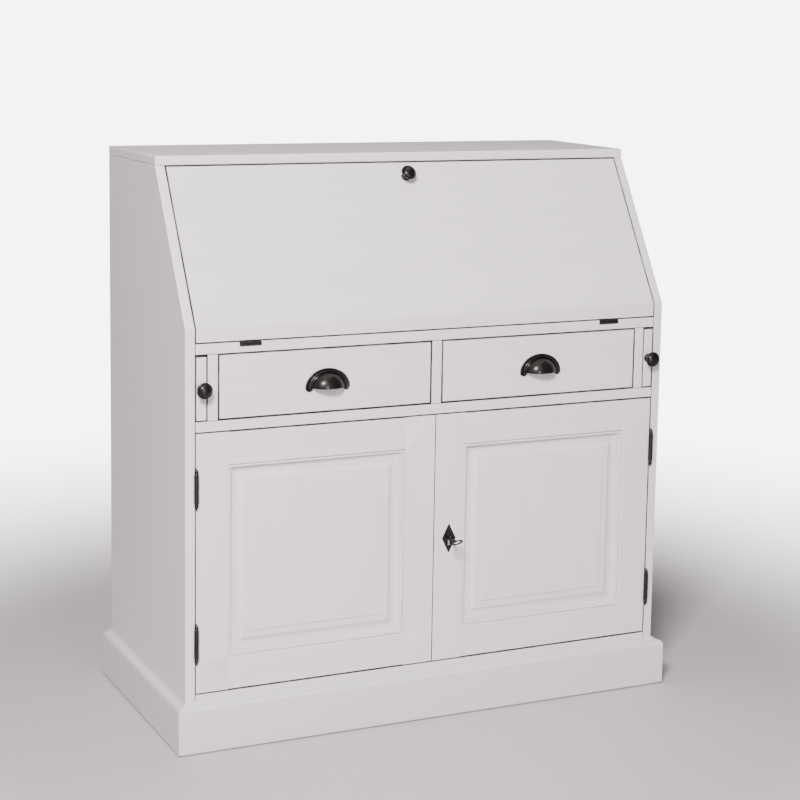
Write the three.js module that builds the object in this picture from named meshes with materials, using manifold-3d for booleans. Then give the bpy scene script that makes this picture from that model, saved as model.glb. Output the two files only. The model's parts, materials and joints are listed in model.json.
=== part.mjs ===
// Secretary desk: a slant-front writing desk with a drop flap on two pull-out lopers,
// two drawers and a two-door cupboard on a plinth. Millimetres, +X right, +Y to the back, +Z up.
// The origin is on the floor, under the centre of the desk's bounding box.
import * as THREE from 'three';
import { mergeVertices } from 'three/addons/utils/BufferGeometryUtils.js';
import Module from 'manifold-3d';

// ---- Driving dimensions ----------------------------------------------------------------

// Carcass
const WIDTH = 1000;              // over the side panels
const DEPTH = 470;               // front of the carcass to its back
const HEIGHT = 1084;             // floor to the top
const SIDE_THICKNESS = 19;
const TOP_THICKNESS = 18;
const BOARD_THICKNESS = 20;      // writing board, drawer deck and cupboard bottom
const BACK_THICKNESS = 12;
const WRITING_HEIGHT = 760;      // top of the writing board
const DRAWER_BAY_HEIGHT = 122;   // between the writing board and the drawer deck
const TOP_SETBACK = 172;         // front edge of the top, behind the carcass front
const SLOPE_START = 27;          // the slope begins this far above the writing board
const DIVIDER_THICKNESS = 20;    // between a loper and a drawer
const CENTRE_DIVIDER_THICKNESS = 21.2;
const SHELF_THICKNESS = 16;
const SHELF_HEIGHT = 391;        // underside of the cupboard shelf
const SHELF_SETBACK = 60;
const GALLERY_THICKNESS = 12;
const GALLERY_RISE = 150;        // underside of the gallery shelf above the writing board
const GALLERY_SETBACK = 240;
const STOP_RAIL_HEIGHT = 30;
const STOP_RAIL_DEPTH = 24;

// Plinth
const PLINTH_HEIGHT = 97;
const PLINTH_THICKNESS = 19;
const PLINTH_MOULDING = 14;      // height of the softened top edge
const SILL_HEIGHT = 11.5;        // cupboard bottom above the plinth

// Flap
const FLAP_THICKNESS = 20;
const FLAP_SIDE_GAP = 1.2;
const FLAP_TOP_GAP = 1.5;
const FLAP_BOTTOM_GAP = 1.5;
const STOP_GAP = 1.5;            // closed flap to the stop rail
const FLAP_KNOB_INSET = 32;      // knob centre below the flap's top edge, along the slope

// Flap hinges
const FLAP_HINGE_CENTRE = 376;   // from the middle of the desk
const FLAP_HINGE_WIDTH = 40;
const FLAP_HINGE_LEAF = 30;      // leaf length from the pin
const FLAP_LEAF_THICKNESS = 2;
const FLAP_KNUCKLE_RADIUS = 4.5;
const FLAP_PIN_RADIUS = 1.5;
const FLAP_KNUCKLE_WIDTH = 14;   // middle knuckle
const FLAP_NOTCH_SPARE = 2;      // room behind the moving leaf in the writing board's notch
const FLAP_HINGE_WEB = 3;        // web between a leaf and its knuckle

// Lopers
const LOPER_WIDTH = 21;
const LOPER_SIDE_GAP = 1;
const LOPER_HEADROOM = 3.4;      // room for the felt pad on the loper's top
const LOPER_FLOOR_GAP = 1;
const LOPER_BACK_GAP = 18;       // loper's end to the back panel

// Drawers
const DRAWER_GAP = 1.8;
const DRAWER_BACK_GAP = 18;      // drawer's end to the back panel
const DRAWER_FRONT_THICKNESS = 20;
const DRAWER_WALL = 12;
const DRAWER_BOTTOM_THICKNESS = 6;
const DRAWER_BOTTOM_RISE = 10;
const DRAWER_RUN_GAP = 0.5;      // drawer sides above the deck
const DRAWER_WALL_DROP = 10;     // drawer sides below the top of the bay

// Doors
const DOOR_THICKNESS = 20;
const DOOR_GAP = 1.9;            // above, below and between the doors
const DOOR_HINGE_GAP = 1.2;
const STILE_WIDTH = 62;
const GROOVE_DEPTH = 8;
const PANEL_TONGUE = 7;          // panel edge inside the groove
const PANEL_THICKNESS = 4.5;
const PANEL_BACK_MARGIN = 5;     // door frame behind the panel
const PANEL_RISE = 5.5;          // sloped margin
const PANEL_STEP = 1.5;          // step up to the flat field
const PANEL_MARGIN = 44;         // frame edge to the flat field

// Door hinges
const DOOR_HINGE_LENGTH = 53;    // both knuckles
const DOOR_HINGE_INSET = 100.5;  // hinge centre to the door's top edge
const DOOR_HINGE_FOOT = 95;      // hinge centre to the door's bottom edge
const DOOR_KNUCKLE_RADIUS = 4.5;
const DOOR_PIN_RADIUS = 1.8;
const DOOR_LEAF_THICKNESS = 1.5;
const DOOR_LEAF_MARGIN = 3;      // leaf stops this far from the door's back
const FINIAL_HEIGHT = 13;

// Knobs and cup pulls
const KNOB_RADIUS = 15;
const KNOB_HEIGHT = 26;
const KNOB_BASE_RADIUS = 8.5;
const KNOB_RIM_HEIGHT = 19;      // middle of the rim above the base
const CUP_HALF_WIDTH = 44.5;
const CUP_HEIGHT = 36;           // flange top above the hood's mouth
const CUP_FLANGE = 8;            // over the hood
const CUP_SIDE_FLANGE = 13;      // beside the hood
const CUP_TIP_DROP = 6;          // flange tips below the mouth
const CUP_DEPTH = 24;
const CUP_WALL = 2.2;
const CUP_MOUTH_DROP = 75;       // hood's mouth below the top of the drawer bay

// Lock
const KEY_CENTRE = 32;           // key axis from the middle of the desk
const KEY_HEIGHT = 352;
const KEY_TILT = 15;             // degrees that the bow leans from level
const KEY_SHAFT_RADIUS = 2.6;
const KEY_REACH = 28;            // shaft in front of the door
const KEY_ENTRY = 11;            // shaft end behind the door's back
const KEY_BIT_RADIUS = 10;
const KEY_BIT_THICKNESS = 2.4;
const BOW_HALF_WIDTH = 12.5;
const BOW_HALF_LENGTH = 10;
const BOW_BAND = 3.2;
const KEYHOLE_RADIUS = 4;
const KEYHOLE_SLOT = 14;
const KEYHOLE_SLOT_WIDTH = 4;
const ESCUTCHEON_WIDTH = 29;
const ESCUTCHEON_HEIGHT = 59;
const ESCUTCHEON_THICKNESS = 1.4;
const LOCK_WIDTH = 46;
const LOCK_HEIGHT = 58;
const LOCK_DEPTH = 14;
const LOCK_WALL = 2;
const LOCK_EDGE = 5;             // case set back from the door's meeting edge
const BOLT_HEIGHT = 11;
const BOLT_THICKNESS = 6;
const BOLT_CLEARANCE = 0.5;

// Clearances
const FIT = 0.3;                 // cut and turned pieces
const PIN_FIT = 0.35;

// Facets on round pieces
const ROUND = 20;

// ---- Heights and places worked out from them --------------------------------------------

const HALF = WIDTH / 2;
const INNER = HALF - SIDE_THICKNESS;
const BACK_FACE = DEPTH - BACK_THICKNESS;
const TOP_UNDER = HEIGHT - TOP_THICKNESS;
const WRITING_UNDER = WRITING_HEIGHT - BOARD_THICKNESS;
const DECK_TOP = WRITING_UNDER - DRAWER_BAY_HEIGHT;
const DECK_UNDER = DECK_TOP - BOARD_THICKNESS;
const BOTTOM_TOP = PLINTH_HEIGHT + SILL_HEIGHT;
const BOTTOM_UNDER = BOTTOM_TOP - BOARD_THICKNESS;
const KINK = WRITING_HEIGHT + SLOPE_START;
const SLOPE = Math.atan2(TOP_SETBACK, TOP_UNDER - KINK);   // from the vertical

const LOPER_LENGTH = BACK_FACE - LOPER_BACK_GAP;
const DRAWER_LENGTH = BACK_FACE - DRAWER_BACK_GAP;
const DIVIDER_OUTER = INNER - LOPER_WIDTH - 2 * LOPER_SIDE_GAP;
const DIVIDER_INNER = DIVIDER_OUTER - DIVIDER_THICKNESS;
const LOPER_CENTRE = INNER - LOPER_SIDE_GAP - LOPER_WIDTH / 2;
const DRAWER_OUTER = DIVIDER_INNER - DRAWER_GAP;
const DRAWER_INNER = CENTRE_DIVIDER_THICKNESS / 2 + DRAWER_GAP;
const DRAWER_CENTRE = (DRAWER_OUTER + DRAWER_INNER) / 2;

const PANEL_FRONT = DOOR_THICKNESS - PANEL_BACK_MARGIN - PANEL_THICKNESS;
const DOOR_LEAF_DEPTH = DOOR_THICKNESS - DOOR_LEAF_MARGIN;
const DOOR_OUTER = INNER - DOOR_HINGE_GAP;
const DOOR_MEETING = DOOR_GAP / 2;
const DOOR_BOTTOM = BOTTOM_TOP + DOOR_GAP;
const DOOR_TOP = DECK_UNDER - DOOR_GAP;
const DOOR_PIN_X = (INNER + DOOR_OUTER) / 2;
const DOOR_PIN_Y = -(DOOR_KNUCKLE_RADIUS + FIT);

// The flap's pin lies in the front plane, at the height that brings the open flap's
// inner face level with the writing board.
const FLAP_PIN_DROP = (FLAP_THICKNESS - SLOPE_START * Math.sin(SLOPE)) / (1 + Math.sin(SLOPE));
const FLAP_PIN_Z = WRITING_HEIGHT - FLAP_PIN_DROP;

// The flap's inner face, and where the hinge leaves widen out behind and above the notch.
const innerFaceY = (z) =>
  (z - KINK) * Math.tan(SLOPE) + FLAP_THICKNESS / Math.cos(SLOPE);
const FLAP_BOTTOM = WRITING_HEIGHT + FLAP_BOTTOM_GAP;
const FLAP_NOTCH_DEPTH = innerFaceY(WRITING_HEIGHT) + FLAP_NOTCH_SPARE;
const FLAP_LEAF_START = FIT
  + (FLAP_BOTTOM - FLAP_PIN_Z + FLAP_PIN_DROP * Math.sin(SLOPE)) / Math.cos(SLOPE);

// ---- Finishes ----------------------------------------------------------------------------

const finish = (color, roughness, metalness) =>
  () => new THREE.MeshStandardMaterial({ color, roughness, metalness });
const paint = finish(0xd2d0d3, 0.42, 0);
const pine = finish(0xcfae82, 0.6, 0);
const bronze = finish(0x1d1a19, 0.3, 0.9);
const steel = finish(0x8f8d88, 0.4, 0.9);

// ---- Shape helpers -----------------------------------------------------------------------

const wasm = await Module();
wasm.setup();

const desk = new THREE.Group();

function add(name, look, geometry) {
  geometry.computeVertexNormals();
  const mesh = new THREE.Mesh(geometry, look());
  mesh.name = name;
  desk.add(mesh);
}

// A box between pairs of x, y and z, in either order. Its corners take the given values
// exactly, so boards that meet share their planes.
function block(xs, ys, zs) {
  const geometry = new THREE.BoxGeometry(2, 2, 2);
  const corners = geometry.attributes.position;
  const spans = [xs, ys, zs].map((span) => [Math.min(...span), Math.max(...span)]);
  for (let i = 0; i < corners.count; i += 1) {
    corners.setXYZ(i, ...spans.map(([low, high], k) => (corners.getComponent(i, k) < 0 ? low : high)));
  }
  return geometry;
}

// An outline of [y, z] points drawn out from x0 to x1.
function drawnAlongX(outline, x0, x1) {
  const shape = new THREE.Shape(outline.map(([y, z]) => new THREE.Vector2(y, z)));
  const geometry = new THREE.ExtrudeGeometry(shape, { depth: x1 - x0, bevelEnabled: false });
  const axes = [[0, 1, 0], [0, 0, 1], [1, 0, 0]].map((axis) => new THREE.Vector3(...axis));
  return geometry.applyMatrix4(new THREE.Matrix4().makeBasis(...axes)).translate(x0, 0, 0);
}

// A shape in the x-z plane drawn out from y0 back to y1.
function drawnAlongY(shape, y0, y1, steps = ROUND / 2) {
  const options = { depth: y1 - y0, bevelEnabled: false, curveSegments: steps };
  return new THREE.ExtrudeGeometry(shape, options).rotateX(Math.PI / 2).translate(0, y1, 0);
}

const rodAlongX = (radius, x0, x1, y, z) =>
  new THREE.CylinderGeometry(radius, radius, x1 - x0, ROUND)
    .rotateZ(Math.PI / 2).translate((x0 + x1) / 2, y, z);
const rodAlongY = (radius, y0, y1, x, z) =>
  new THREE.CylinderGeometry(radius, radius, y1 - y0, ROUND).translate(x, (y0 + y1) / 2, z);
const rodAlongZ = (radius, z0, z1, x, y) =>
  new THREE.CylinderGeometry(radius, radius, z1 - z0, ROUND)
    .rotateX(Math.PI / 2).translate(x, y, (z0 + z1) / 2);

function solid(geometry) {
  const bare = geometry.index ? geometry.toNonIndexed() : geometry.clone();
  bare.deleteAttribute('normal');
  bare.deleteAttribute('uv');
  const merged = mergeVertices(bare, 1e-4);
  return new wasm.Manifold(new wasm.Mesh({
    numProp: 3,
    vertProperties: Float32Array.from(merged.attributes.position.array),
    triVerts: Uint32Array.from(merged.index.array),
  }));
}

function surface(body) {
  const { vertProperties, triVerts } = body.getMesh();
  const geometry = new THREE.BufferGeometry();
  geometry.setAttribute('position', new THREE.BufferAttribute(vertProperties, 3));
  geometry.setIndex(new THREE.BufferAttribute(triVerts, 1));
  return geometry;
}

const joined = (...pieces) => pieces.map(solid).reduce((sum, piece) => sum.add(piece));
const without = (body, ...cuts) =>
  cuts.map(solid).reduce((rest, cut) => rest.subtract(cut), body);

// ---- Shared hardware ---------------------------------------------------------------------

// A turned knob standing on its base at the origin, along +Y.
function knob() {
  const neck = KNOB_BASE_RADIUS * 0.66;
  const profile = new THREE.Path()
    .moveTo(0, 0).lineTo(KNOB_BASE_RADIUS, 0).lineTo(KNOB_BASE_RADIUS, 2.5)
    .quadraticCurveTo(neck, 3.5, neck, KNOB_RIM_HEIGHT / 2)
    .quadraticCurveTo(neck, KNOB_RIM_HEIGHT - 3, KNOB_RADIUS - 1, KNOB_RIM_HEIGHT - 2)
    .quadraticCurveTo(KNOB_RADIUS + 0.6, KNOB_RIM_HEIGHT, KNOB_RADIUS - 1, KNOB_RIM_HEIGHT + 2)
    .lineTo(KNOB_RADIUS - 2.5, KNOB_RIM_HEIGHT + 2.6)
    .quadraticCurveTo(KNOB_RADIUS * 0.75, KNOB_HEIGHT, 0, KNOB_HEIGHT);
  return new THREE.LatheGeometry(profile.getPoints(3), ROUND);
}

// Where the slope's outer face is, s along it from the kink and n in front of it.
const onSlope = (s, n) => [
  s * Math.sin(SLOPE) - n * Math.cos(SLOPE),
  KINK + s * Math.cos(SLOPE) + n * Math.sin(SLOPE),
];

// ---- Carcass -----------------------------------------------------------------------------

const doorHingeHeights = {
  upper: DOOR_TOP - DOOR_HINGE_INSET,
  lower: DOOR_BOTTOM + DOOR_HINGE_FOOT,
};
const hingeSpan = (z) => [z - DOOR_HINGE_LENGTH / 2, z + DOOR_HINGE_LENGTH / 2];
const widened = ([a, b], gap) => [a - gap, b + gap];

function sidePanel(side) {
  const outline = [[0, 0], [DEPTH, 0], [DEPTH, TOP_UNDER], [TOP_SETBACK, TOP_UNDER], [0, KINK]];
  const [x0, x1] = side < 0 ? [-HALF, -INNER] : [INNER, HALF];
  const pockets = Object.values(doorHingeHeights).map((z) => block(
    [side * (INNER - 1), side * (INNER + DOOR_LEAF_THICKNESS + FIT / 2)],
    [-1, DOOR_LEAF_DEPTH + FIT], widened(hingeSpan(z), FIT)));
  return surface(without(solid(drawnAlongX(outline, x0, x1)), ...pockets));
}

add('side_panel_left', paint, sidePanel(-1));
add('side_panel_right', paint, sidePanel(1));
add('top_board', paint, block([-HALF, HALF], [TOP_SETBACK, DEPTH], [TOP_UNDER, HEIGHT]));
add('back_panel', paint, block([-INNER, INNER], [BACK_FACE, DEPTH], [BOTTOM_UNDER, TOP_UNDER]));
add('drawer_deck', paint, block([-INNER, INNER], [0, BACK_FACE], [DECK_UNDER, DECK_TOP]));
add('cupboard_bottom', paint, block([-INNER, INNER], [0, BACK_FACE], [BOTTOM_UNDER, BOTTOM_TOP]));
add('cupboard_shelf', paint, block([-INNER, INNER], [SHELF_SETBACK, BACK_FACE],
  [SHELF_HEIGHT, SHELF_HEIGHT + SHELF_THICKNESS]));

const inBay = [DECK_TOP, WRITING_UNDER];
add('divider_left', paint, block([-DIVIDER_OUTER, -DIVIDER_INNER], [0, BACK_FACE], inBay));
add('divider_right', paint, block([DIVIDER_INNER, DIVIDER_OUTER], [0, BACK_FACE], inBay));
add('divider_centre', paint, block(
  [-CENTRE_DIVIDER_THICKNESS / 2, CENTRE_DIVIDER_THICKNESS / 2], [0, BACK_FACE], inBay));

// The writing board is cut away for the flap hinges' knuckles and fixed leaves.
function writingBoard() {
  const cuts = [-1, 1].flatMap((side) => {
    const xs = widened([side * FLAP_HINGE_CENTRE - FLAP_HINGE_WIDTH / 2,
      side * FLAP_HINGE_CENTRE + FLAP_HINGE_WIDTH / 2], FIT);
    return [
      block(xs, [-1, FLAP_NOTCH_DEPTH],
        [FLAP_PIN_Z - FLAP_KNUCKLE_RADIUS - FIT, WRITING_HEIGHT + 1]),
      block(xs, [FLAP_NOTCH_DEPTH - 1, FLAP_HINGE_LEAF + FIT],
        [WRITING_HEIGHT - FLAP_LEAF_THICKNESS - FIT / 2, WRITING_HEIGHT + 1]),
    ];
  });
  const board = block([-INNER, INNER], [0, BACK_FACE], [WRITING_UNDER, WRITING_HEIGHT]);
  return surface(without(solid(board), ...cuts));
}
add('writing_board', paint, writingBoard());

const galleryUnder = WRITING_HEIGHT + GALLERY_RISE;
add('gallery_shelf', paint, block([-INNER, INNER], [GALLERY_SETBACK, BACK_FACE],
  [galleryUnder, galleryUnder + GALLERY_THICKNESS]));

// The rail that the closed flap meets leans with the flap's inner face.
const stopUnder = TOP_UNDER - STOP_RAIL_HEIGHT;
const stopLead = STOP_GAP / Math.cos(SLOPE);
const stopBack = innerFaceY(TOP_UNDER) + stopLead + STOP_RAIL_DEPTH;
add('flap_stop_rail', paint, drawnAlongX([
  [innerFaceY(stopUnder) + stopLead, stopUnder], [stopBack, stopUnder],
  [stopBack, TOP_UNDER], [innerFaceY(TOP_UNDER) + stopLead, TOP_UNDER],
], -INNER, INNER));

// ---- Plinth: three boards with a softened top edge, mitred at the front corners ------------

// Outline across the front board, as [y, z] points with its back on the carcass.
const shoulder = PLINTH_HEIGHT - PLINTH_MOULDING;
const plinthProfile = new THREE.Path()
  .moveTo(0, PLINTH_HEIGHT).lineTo(-1.5, PLINTH_HEIGHT)
  .bezierCurveTo(-3, shoulder + 4, -PLINTH_THICKNESS, PLINTH_HEIGHT - 2, -PLINTH_THICKNESS, shoulder)
  .lineTo(-PLINTH_THICKNESS, 0).lineTo(0, 0)
  .getPoints(5).map(({ x, y }) => [x, y]);

// Everything on one side of a front corner's mitre line, set off by half the gap.
function mitreWedge(side, keepFront) {
  const reach = 2 * DEPTH;
  const cutter = new THREE.BoxGeometry(reach, reach, 3 * PLINTH_HEIGHT);
  const shift = (keepFront ? 1 : -1) * (reach / 2 - FIT / 4);
  cutter.translate(0, shift, 0).rotateZ(side * -Math.PI / 4).translate(side * HALF, 0, 0);
  return cutter;
}

const frontBoard = drawnAlongX(plinthProfile, -HALF - PLINTH_THICKNESS, HALF + PLINTH_THICKNESS);
add('plinth_front', paint, surface(without(solid(frontBoard),
  mitreWedge(-1, true), mitreWedge(1, true))));

// A return runs back from the front corner: the same board turned to face sideways.
function plinthReturn(side) {
  const ends = side > 0 ? [-PLINTH_THICKNESS, DEPTH] : [-DEPTH, PLINTH_THICKNESS];
  const board = drawnAlongX(plinthProfile, ...ends)
    .rotateZ(side * Math.PI / 2).translate(side * HALF, 0, 0);
  return surface(without(solid(board), mitreWedge(side, false)));
}
add('plinth_left', paint, plinthReturn(-1));
add('plinth_right', paint, plinthReturn(1));

// ---- Flap --------------------------------------------------------------------------------

const FLAP_LENGTH = (TOP_UNDER - FLAP_TOP_GAP - KINK) / Math.cos(SLOPE);

// A leaf plate in the closed flap's inner face: s0 to s1 from the pin along the face.
function flapLeafPlate(x0, x1, s0, s1, depth = FLAP_LEAF_THICKNESS, back = 0) {
  const at = (s, n) => [
    s * Math.sin(SLOPE) + (FLAP_PIN_DROP - n) * Math.cos(SLOPE),
    FLAP_PIN_Z + s * Math.cos(SLOPE) - (FLAP_PIN_DROP - n) * Math.sin(SLOPE),
  ];
  return drawnAlongX([at(s0, depth), at(s0, -back), at(s1, -back), at(s1, depth)], x0, x1);
}

function flapPanel() {
  const x = INNER - FLAP_SIDE_GAP;
  const outline = [[0, FLAP_BOTTOM], [innerFaceY(FLAP_BOTTOM), FLAP_BOTTOM],
    onSlope(FLAP_LENGTH, -FLAP_THICKNESS), onSlope(FLAP_LENGTH, 0), [0, KINK]];
  const pockets = [-1, 1].map((side) => flapLeafPlate(
    side * FLAP_HINGE_CENTRE - FLAP_HINGE_WIDTH / 2 - FIT,
    side * FLAP_HINGE_CENTRE + FLAP_HINGE_WIDTH / 2 + FIT,
    0, FLAP_HINGE_LEAF + FIT, FLAP_LEAF_THICKNESS + FIT, 1));
  return surface(without(solid(drawnAlongX(outline, -x, x)), ...pockets));
}
add('flap_panel', paint, flapPanel());

const [knobY, knobZ] = onSlope(FLAP_LENGTH - FLAP_KNOB_INSET, FIT / 3);
add('flap_knob', bronze, knob().rotateX(Math.PI - SLOPE).translate(0, knobY, knobZ));

function flapHingeFixed(side) {
  const x = side * FLAP_HINGE_CENTRE;
  const half = FLAP_HINGE_WIDTH / 2;
  const middle = FLAP_KNUCKLE_WIDTH / 2 + FIT;
  const leaf = [WRITING_HEIGHT - FLAP_LEAF_THICKNESS, WRITING_HEIGHT];
  const ends = [[x - half, x - middle], [x + middle, x + half]];
  return surface(joined(
    block([x - half, x + half], [FLAP_NOTCH_DEPTH, FLAP_HINGE_LEAF], leaf),
    ...ends.map(([a, b]) => block([a, b], [0, FLAP_NOTCH_DEPTH + 1], leaf)),
    ...ends.map(([a, b]) => block([a, b], [0, FLAP_HINGE_WEB], [FLAP_PIN_Z, WRITING_HEIGHT - 1])),
    ...ends.map(([a, b]) => rodAlongX(FLAP_KNUCKLE_RADIUS, a, b, 0, FLAP_PIN_Z)),
    rodAlongX(FLAP_PIN_RADIUS, x - half + 1, x + half - 1, 0, FLAP_PIN_Z)));
}

function flapHingeMoving(side) {
  const x = side * FLAP_HINGE_CENTRE;
  const half = FLAP_HINGE_WIDTH / 2;
  const middle = FLAP_KNUCKLE_WIDTH / 2;
  const body = joined(
    flapLeafPlate(x - half, x + half, FLAP_LEAF_START, FLAP_HINGE_LEAF),
    flapLeafPlate(x - middle, x + middle, 0, FLAP_LEAF_START + 1),
    flapLeafPlate(x - middle, x + middle, 0, FLAP_HINGE_WEB, FLAP_PIN_DROP, -1),
    rodAlongX(FLAP_KNUCKLE_RADIUS, x - middle, x + middle, 0, FLAP_PIN_Z));
  return surface(without(body, rodAlongX(FLAP_PIN_RADIUS + PIN_FIT,
    x - middle - 1, x + middle + 1, 0, FLAP_PIN_Z)));
}

for (const [side, name] of [[-1, 'left'], [1, 'right']]) {
  add(`flap_hinge_${name}_fixed`, bronze, flapHingeFixed(side));
  add(`flap_hinge_${name}_moving`, bronze, flapHingeMoving(side));
}

// ---- Lopers ------------------------------------------------------------------------------

const LOPER_SPAN = [DECK_TOP + LOPER_FLOOR_GAP, WRITING_UNDER - LOPER_HEADROOM];
for (const [side, name] of [[-1, 'left'], [1, 'right']]) {
  const x = side * LOPER_CENTRE;
  add(`loper_${name}`, paint, block([x - LOPER_WIDTH / 2, x + LOPER_WIDTH / 2],
    [0, LOPER_LENGTH], LOPER_SPAN));
  add(`loper_knob_${name}`, bronze, knob().rotateX(Math.PI)
    .translate(x, -FIT / 3, (LOPER_SPAN[0] + LOPER_SPAN[1]) / 2));
}

// ---- Drawers -----------------------------------------------------------------------------

const ellipse = (halfWidth, height) =>
  new THREE.Shape().absellipse(0, 0, halfWidth, height, 0, 2 * Math.PI);

// A cup pull: a crescent flange on the drawer's face and a hood that opens downwards.
function cupPull(x, mouth) {
  const hoodWidth = CUP_HALF_WIDTH - CUP_SIDE_FLANGE;
  const hoodHeight = CUP_HEIGHT - CUP_FLANGE;
  const egg = (inset) => new THREE.SphereGeometry(1, ROUND, ROUND / 2)
    .scale(hoodWidth - inset, CUP_DEPTH - inset, hoodHeight - inset);
  const above = block([-2 * hoodWidth, 2 * hoodWidth], [-2 * CUP_DEPTH, 0], [0, 2 * CUP_HEIGHT]);
  const shell = without(solid(egg(0)), egg(CUP_WALL)).intersect(solid(above));
  const tipHalf = (CUP_SIDE_FLANGE + CUP_WALL) / 2;
  const tips = [-1, 1].map((side) => new THREE.CylinderGeometry(1, 1, CUP_WALL, ROUND)
    .scale(tipHalf, 1, CUP_TIP_DROP)
    .translate(side * (CUP_HALF_WIDTH - tipHalf), -CUP_WALL / 2, 0));
  const crescent = drawnAlongY(ellipse(CUP_HALF_WIDTH, CUP_HEIGHT), -CUP_WALL, 0);
  const hollow = drawnAlongY(ellipse(hoodWidth - CUP_WALL, hoodHeight - CUP_WALL), -9, 9);
  const plate = without(solid(crescent).intersect(solid(above)).add(joined(...tips)), hollow);
  return surface(plate.add(shell)).translate(x, -FIT / 3, mouth);
}

for (const [side, name] of [[-1, 'left'], [1, 'right']]) {
  const span = [side * DRAWER_INNER, side * DRAWER_OUTER];
  const wallZ = [DECK_TOP + DRAWER_RUN_GAP, WRITING_UNDER - DRAWER_WALL_DROP];
  const front = [0, DRAWER_FRONT_THICKNESS];
  const behind = [DRAWER_FRONT_THICKNESS, DRAWER_LENGTH];
  const between = [side * (DRAWER_INNER + DRAWER_WALL), side * (DRAWER_OUTER - DRAWER_WALL)];
  const bottomZ = DECK_TOP + DRAWER_BOTTOM_RISE;
  add(`drawer_${name}_front`, paint,
    block(span, front, [DECK_TOP + DRAWER_GAP, WRITING_UNDER - DRAWER_GAP]));
  add(`drawer_${name}_inner_wall`, pine, block([span[0], between[0]], behind, wallZ));
  add(`drawer_${name}_outer_wall`, pine, block([between[1], span[1]], behind, wallZ));
  add(`drawer_${name}_back`, pine, block(between,
    [DRAWER_LENGTH - DRAWER_WALL, DRAWER_LENGTH], [bottomZ + DRAWER_BOTTOM_THICKNESS, wallZ[1]]));
  add(`drawer_${name}_bottom`, pine,
    block(between, behind, [bottomZ, bottomZ + DRAWER_BOTTOM_THICKNESS]));
  add(`cup_pull_${name}`, bronze,
    cupPull(side * DRAWER_CENTRE, WRITING_UNDER - CUP_MOUTH_DROP));
}

// ---- Doors -------------------------------------------------------------------------------

// Rectangular rings of [inset, y] joined in turn, closed at both ends.
function ringed([x0, x1], [z0, z1], rings) {
  const corners = rings.flatMap(([inset, y]) => [
    [x0 + inset, y, z0 + inset], [x1 - inset, y, z0 + inset],
    [x1 - inset, y, z1 - inset], [x0 + inset, y, z1 - inset]]);
  const faces = [[0, 2, 1], [0, 3, 2]];
  for (let ring = 0; ring < rings.length - 1; ring += 1) {
    for (let k = 0; k < 4; k += 1) {
      const a = 4 * ring + k;
      const b = 4 * ring + (k + 1) % 4;
      faces.push([a, b, b + 4], [a, b + 4, a + 4]);
    }
  }
  const last = 4 * (rings.length - 1);
  faces.push([last, last + 1, last + 2], [last, last + 2, last + 3]);
  const geometry = new THREE.BufferGeometry();
  geometry.setAttribute('position', new THREE.Float32BufferAttribute(corners.flat(), 3));
  geometry.setIndex(faces.flat());
  return geometry;
}

// The grooves run in the middle of the frame's edges and hold the panel's tongue.
const GROOVE_Y = [PANEL_FRONT - FIT, PANEL_FRONT + PANEL_THICKNESS + FIT];
const THROUGH = [-1, DOOR_THICKNESS + 1];
const opening = (side) => ({
  xs: [side * (DOOR_MEETING + STILE_WIDTH), side * (DOOR_OUTER - STILE_WIDTH)].sort((a, b) => a - b),
  zs: [DOOR_BOTTOM + STILE_WIDTH, DOOR_TOP - STILE_WIDTH],
});
const grooves = (side) => {
  const { xs, zs } = opening(side);
  return block(widened(xs, GROOVE_DEPTH), GROOVE_Y, widened(zs, GROOVE_DEPTH));
};

const keyhole = (y0, y1) => joined(
  rodAlongY(KEYHOLE_RADIUS, y0, y1, KEY_CENTRE, KEY_HEIGHT),
  block([KEY_CENTRE - KEYHOLE_SLOT_WIDTH / 2, KEY_CENTRE + KEYHOLE_SLOT_WIDTH / 2], [y0, y1],
    [KEY_HEIGHT - KEYHOLE_SLOT, KEY_HEIGHT]));

for (const [side, name] of [[-1, 'left'], [1, 'right']]) {
  const { xs, zs } = opening(side);
  const thick = [0, DOOR_THICKNESS];
  const tall = [DOOR_BOTTOM, DOOR_TOP];
  const leafPockets = Object.values(doorHingeHeights).map((z) => block(
    [side * (DOOR_OUTER + 1), side * (DOOR_OUTER - DOOR_LEAF_THICKNESS - FIT / 2)],
    [-1, DOOR_LEAF_DEPTH + FIT], widened(hingeSpan(z), FIT)));
  const hingeStile = block([side * (DOOR_OUTER - STILE_WIDTH), side * DOOR_OUTER], thick, tall);
  add(`door_${name}_hinge_stile`, paint,
    surface(without(solid(hingeStile), grooves(side), ...leafPockets)));

  const meetingStile = without(solid(
    block([side * DOOR_MEETING, side * (DOOR_MEETING + STILE_WIDTH)], thick, tall)), grooves(side));
  add(`door_${name}_meeting_stile`, paint,
    surface(side > 0 ? meetingStile.subtract(keyhole(...THROUGH)) : meetingStile));

  add(`door_${name}_top_rail`, paint,
    surface(without(solid(block(xs, thick, [zs[1], DOOR_TOP])), grooves(side))));
  add(`door_${name}_bottom_rail`, paint,
    surface(without(solid(block(xs, thick, [DOOR_BOTTOM, zs[0]])), grooves(side))));

  const field = PANEL_TONGUE + PANEL_MARGIN;
  const slopeEnd = PANEL_FRONT - PANEL_RISE;
  add(`door_${name}_panel`, paint, ringed(widened(xs, PANEL_TONGUE), widened(zs, PANEL_TONGUE), [
    [0, PANEL_FRONT + PANEL_THICKNESS], [0, PANEL_FRONT], [PANEL_TONGUE, PANEL_FRONT],
    [field, slopeEnd], [field + 0.5, slopeEnd - PANEL_STEP],
  ]));

  for (const [place, z] of Object.entries(doorHingeHeights)) {
    add(`door_${name}_${place}_hinge_fixed`, bronze, doorHingeFixed(side, z));
    add(`door_${name}_${place}_hinge_moving`, bronze, doorHingeMoving(side, z));
  }
}

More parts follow.
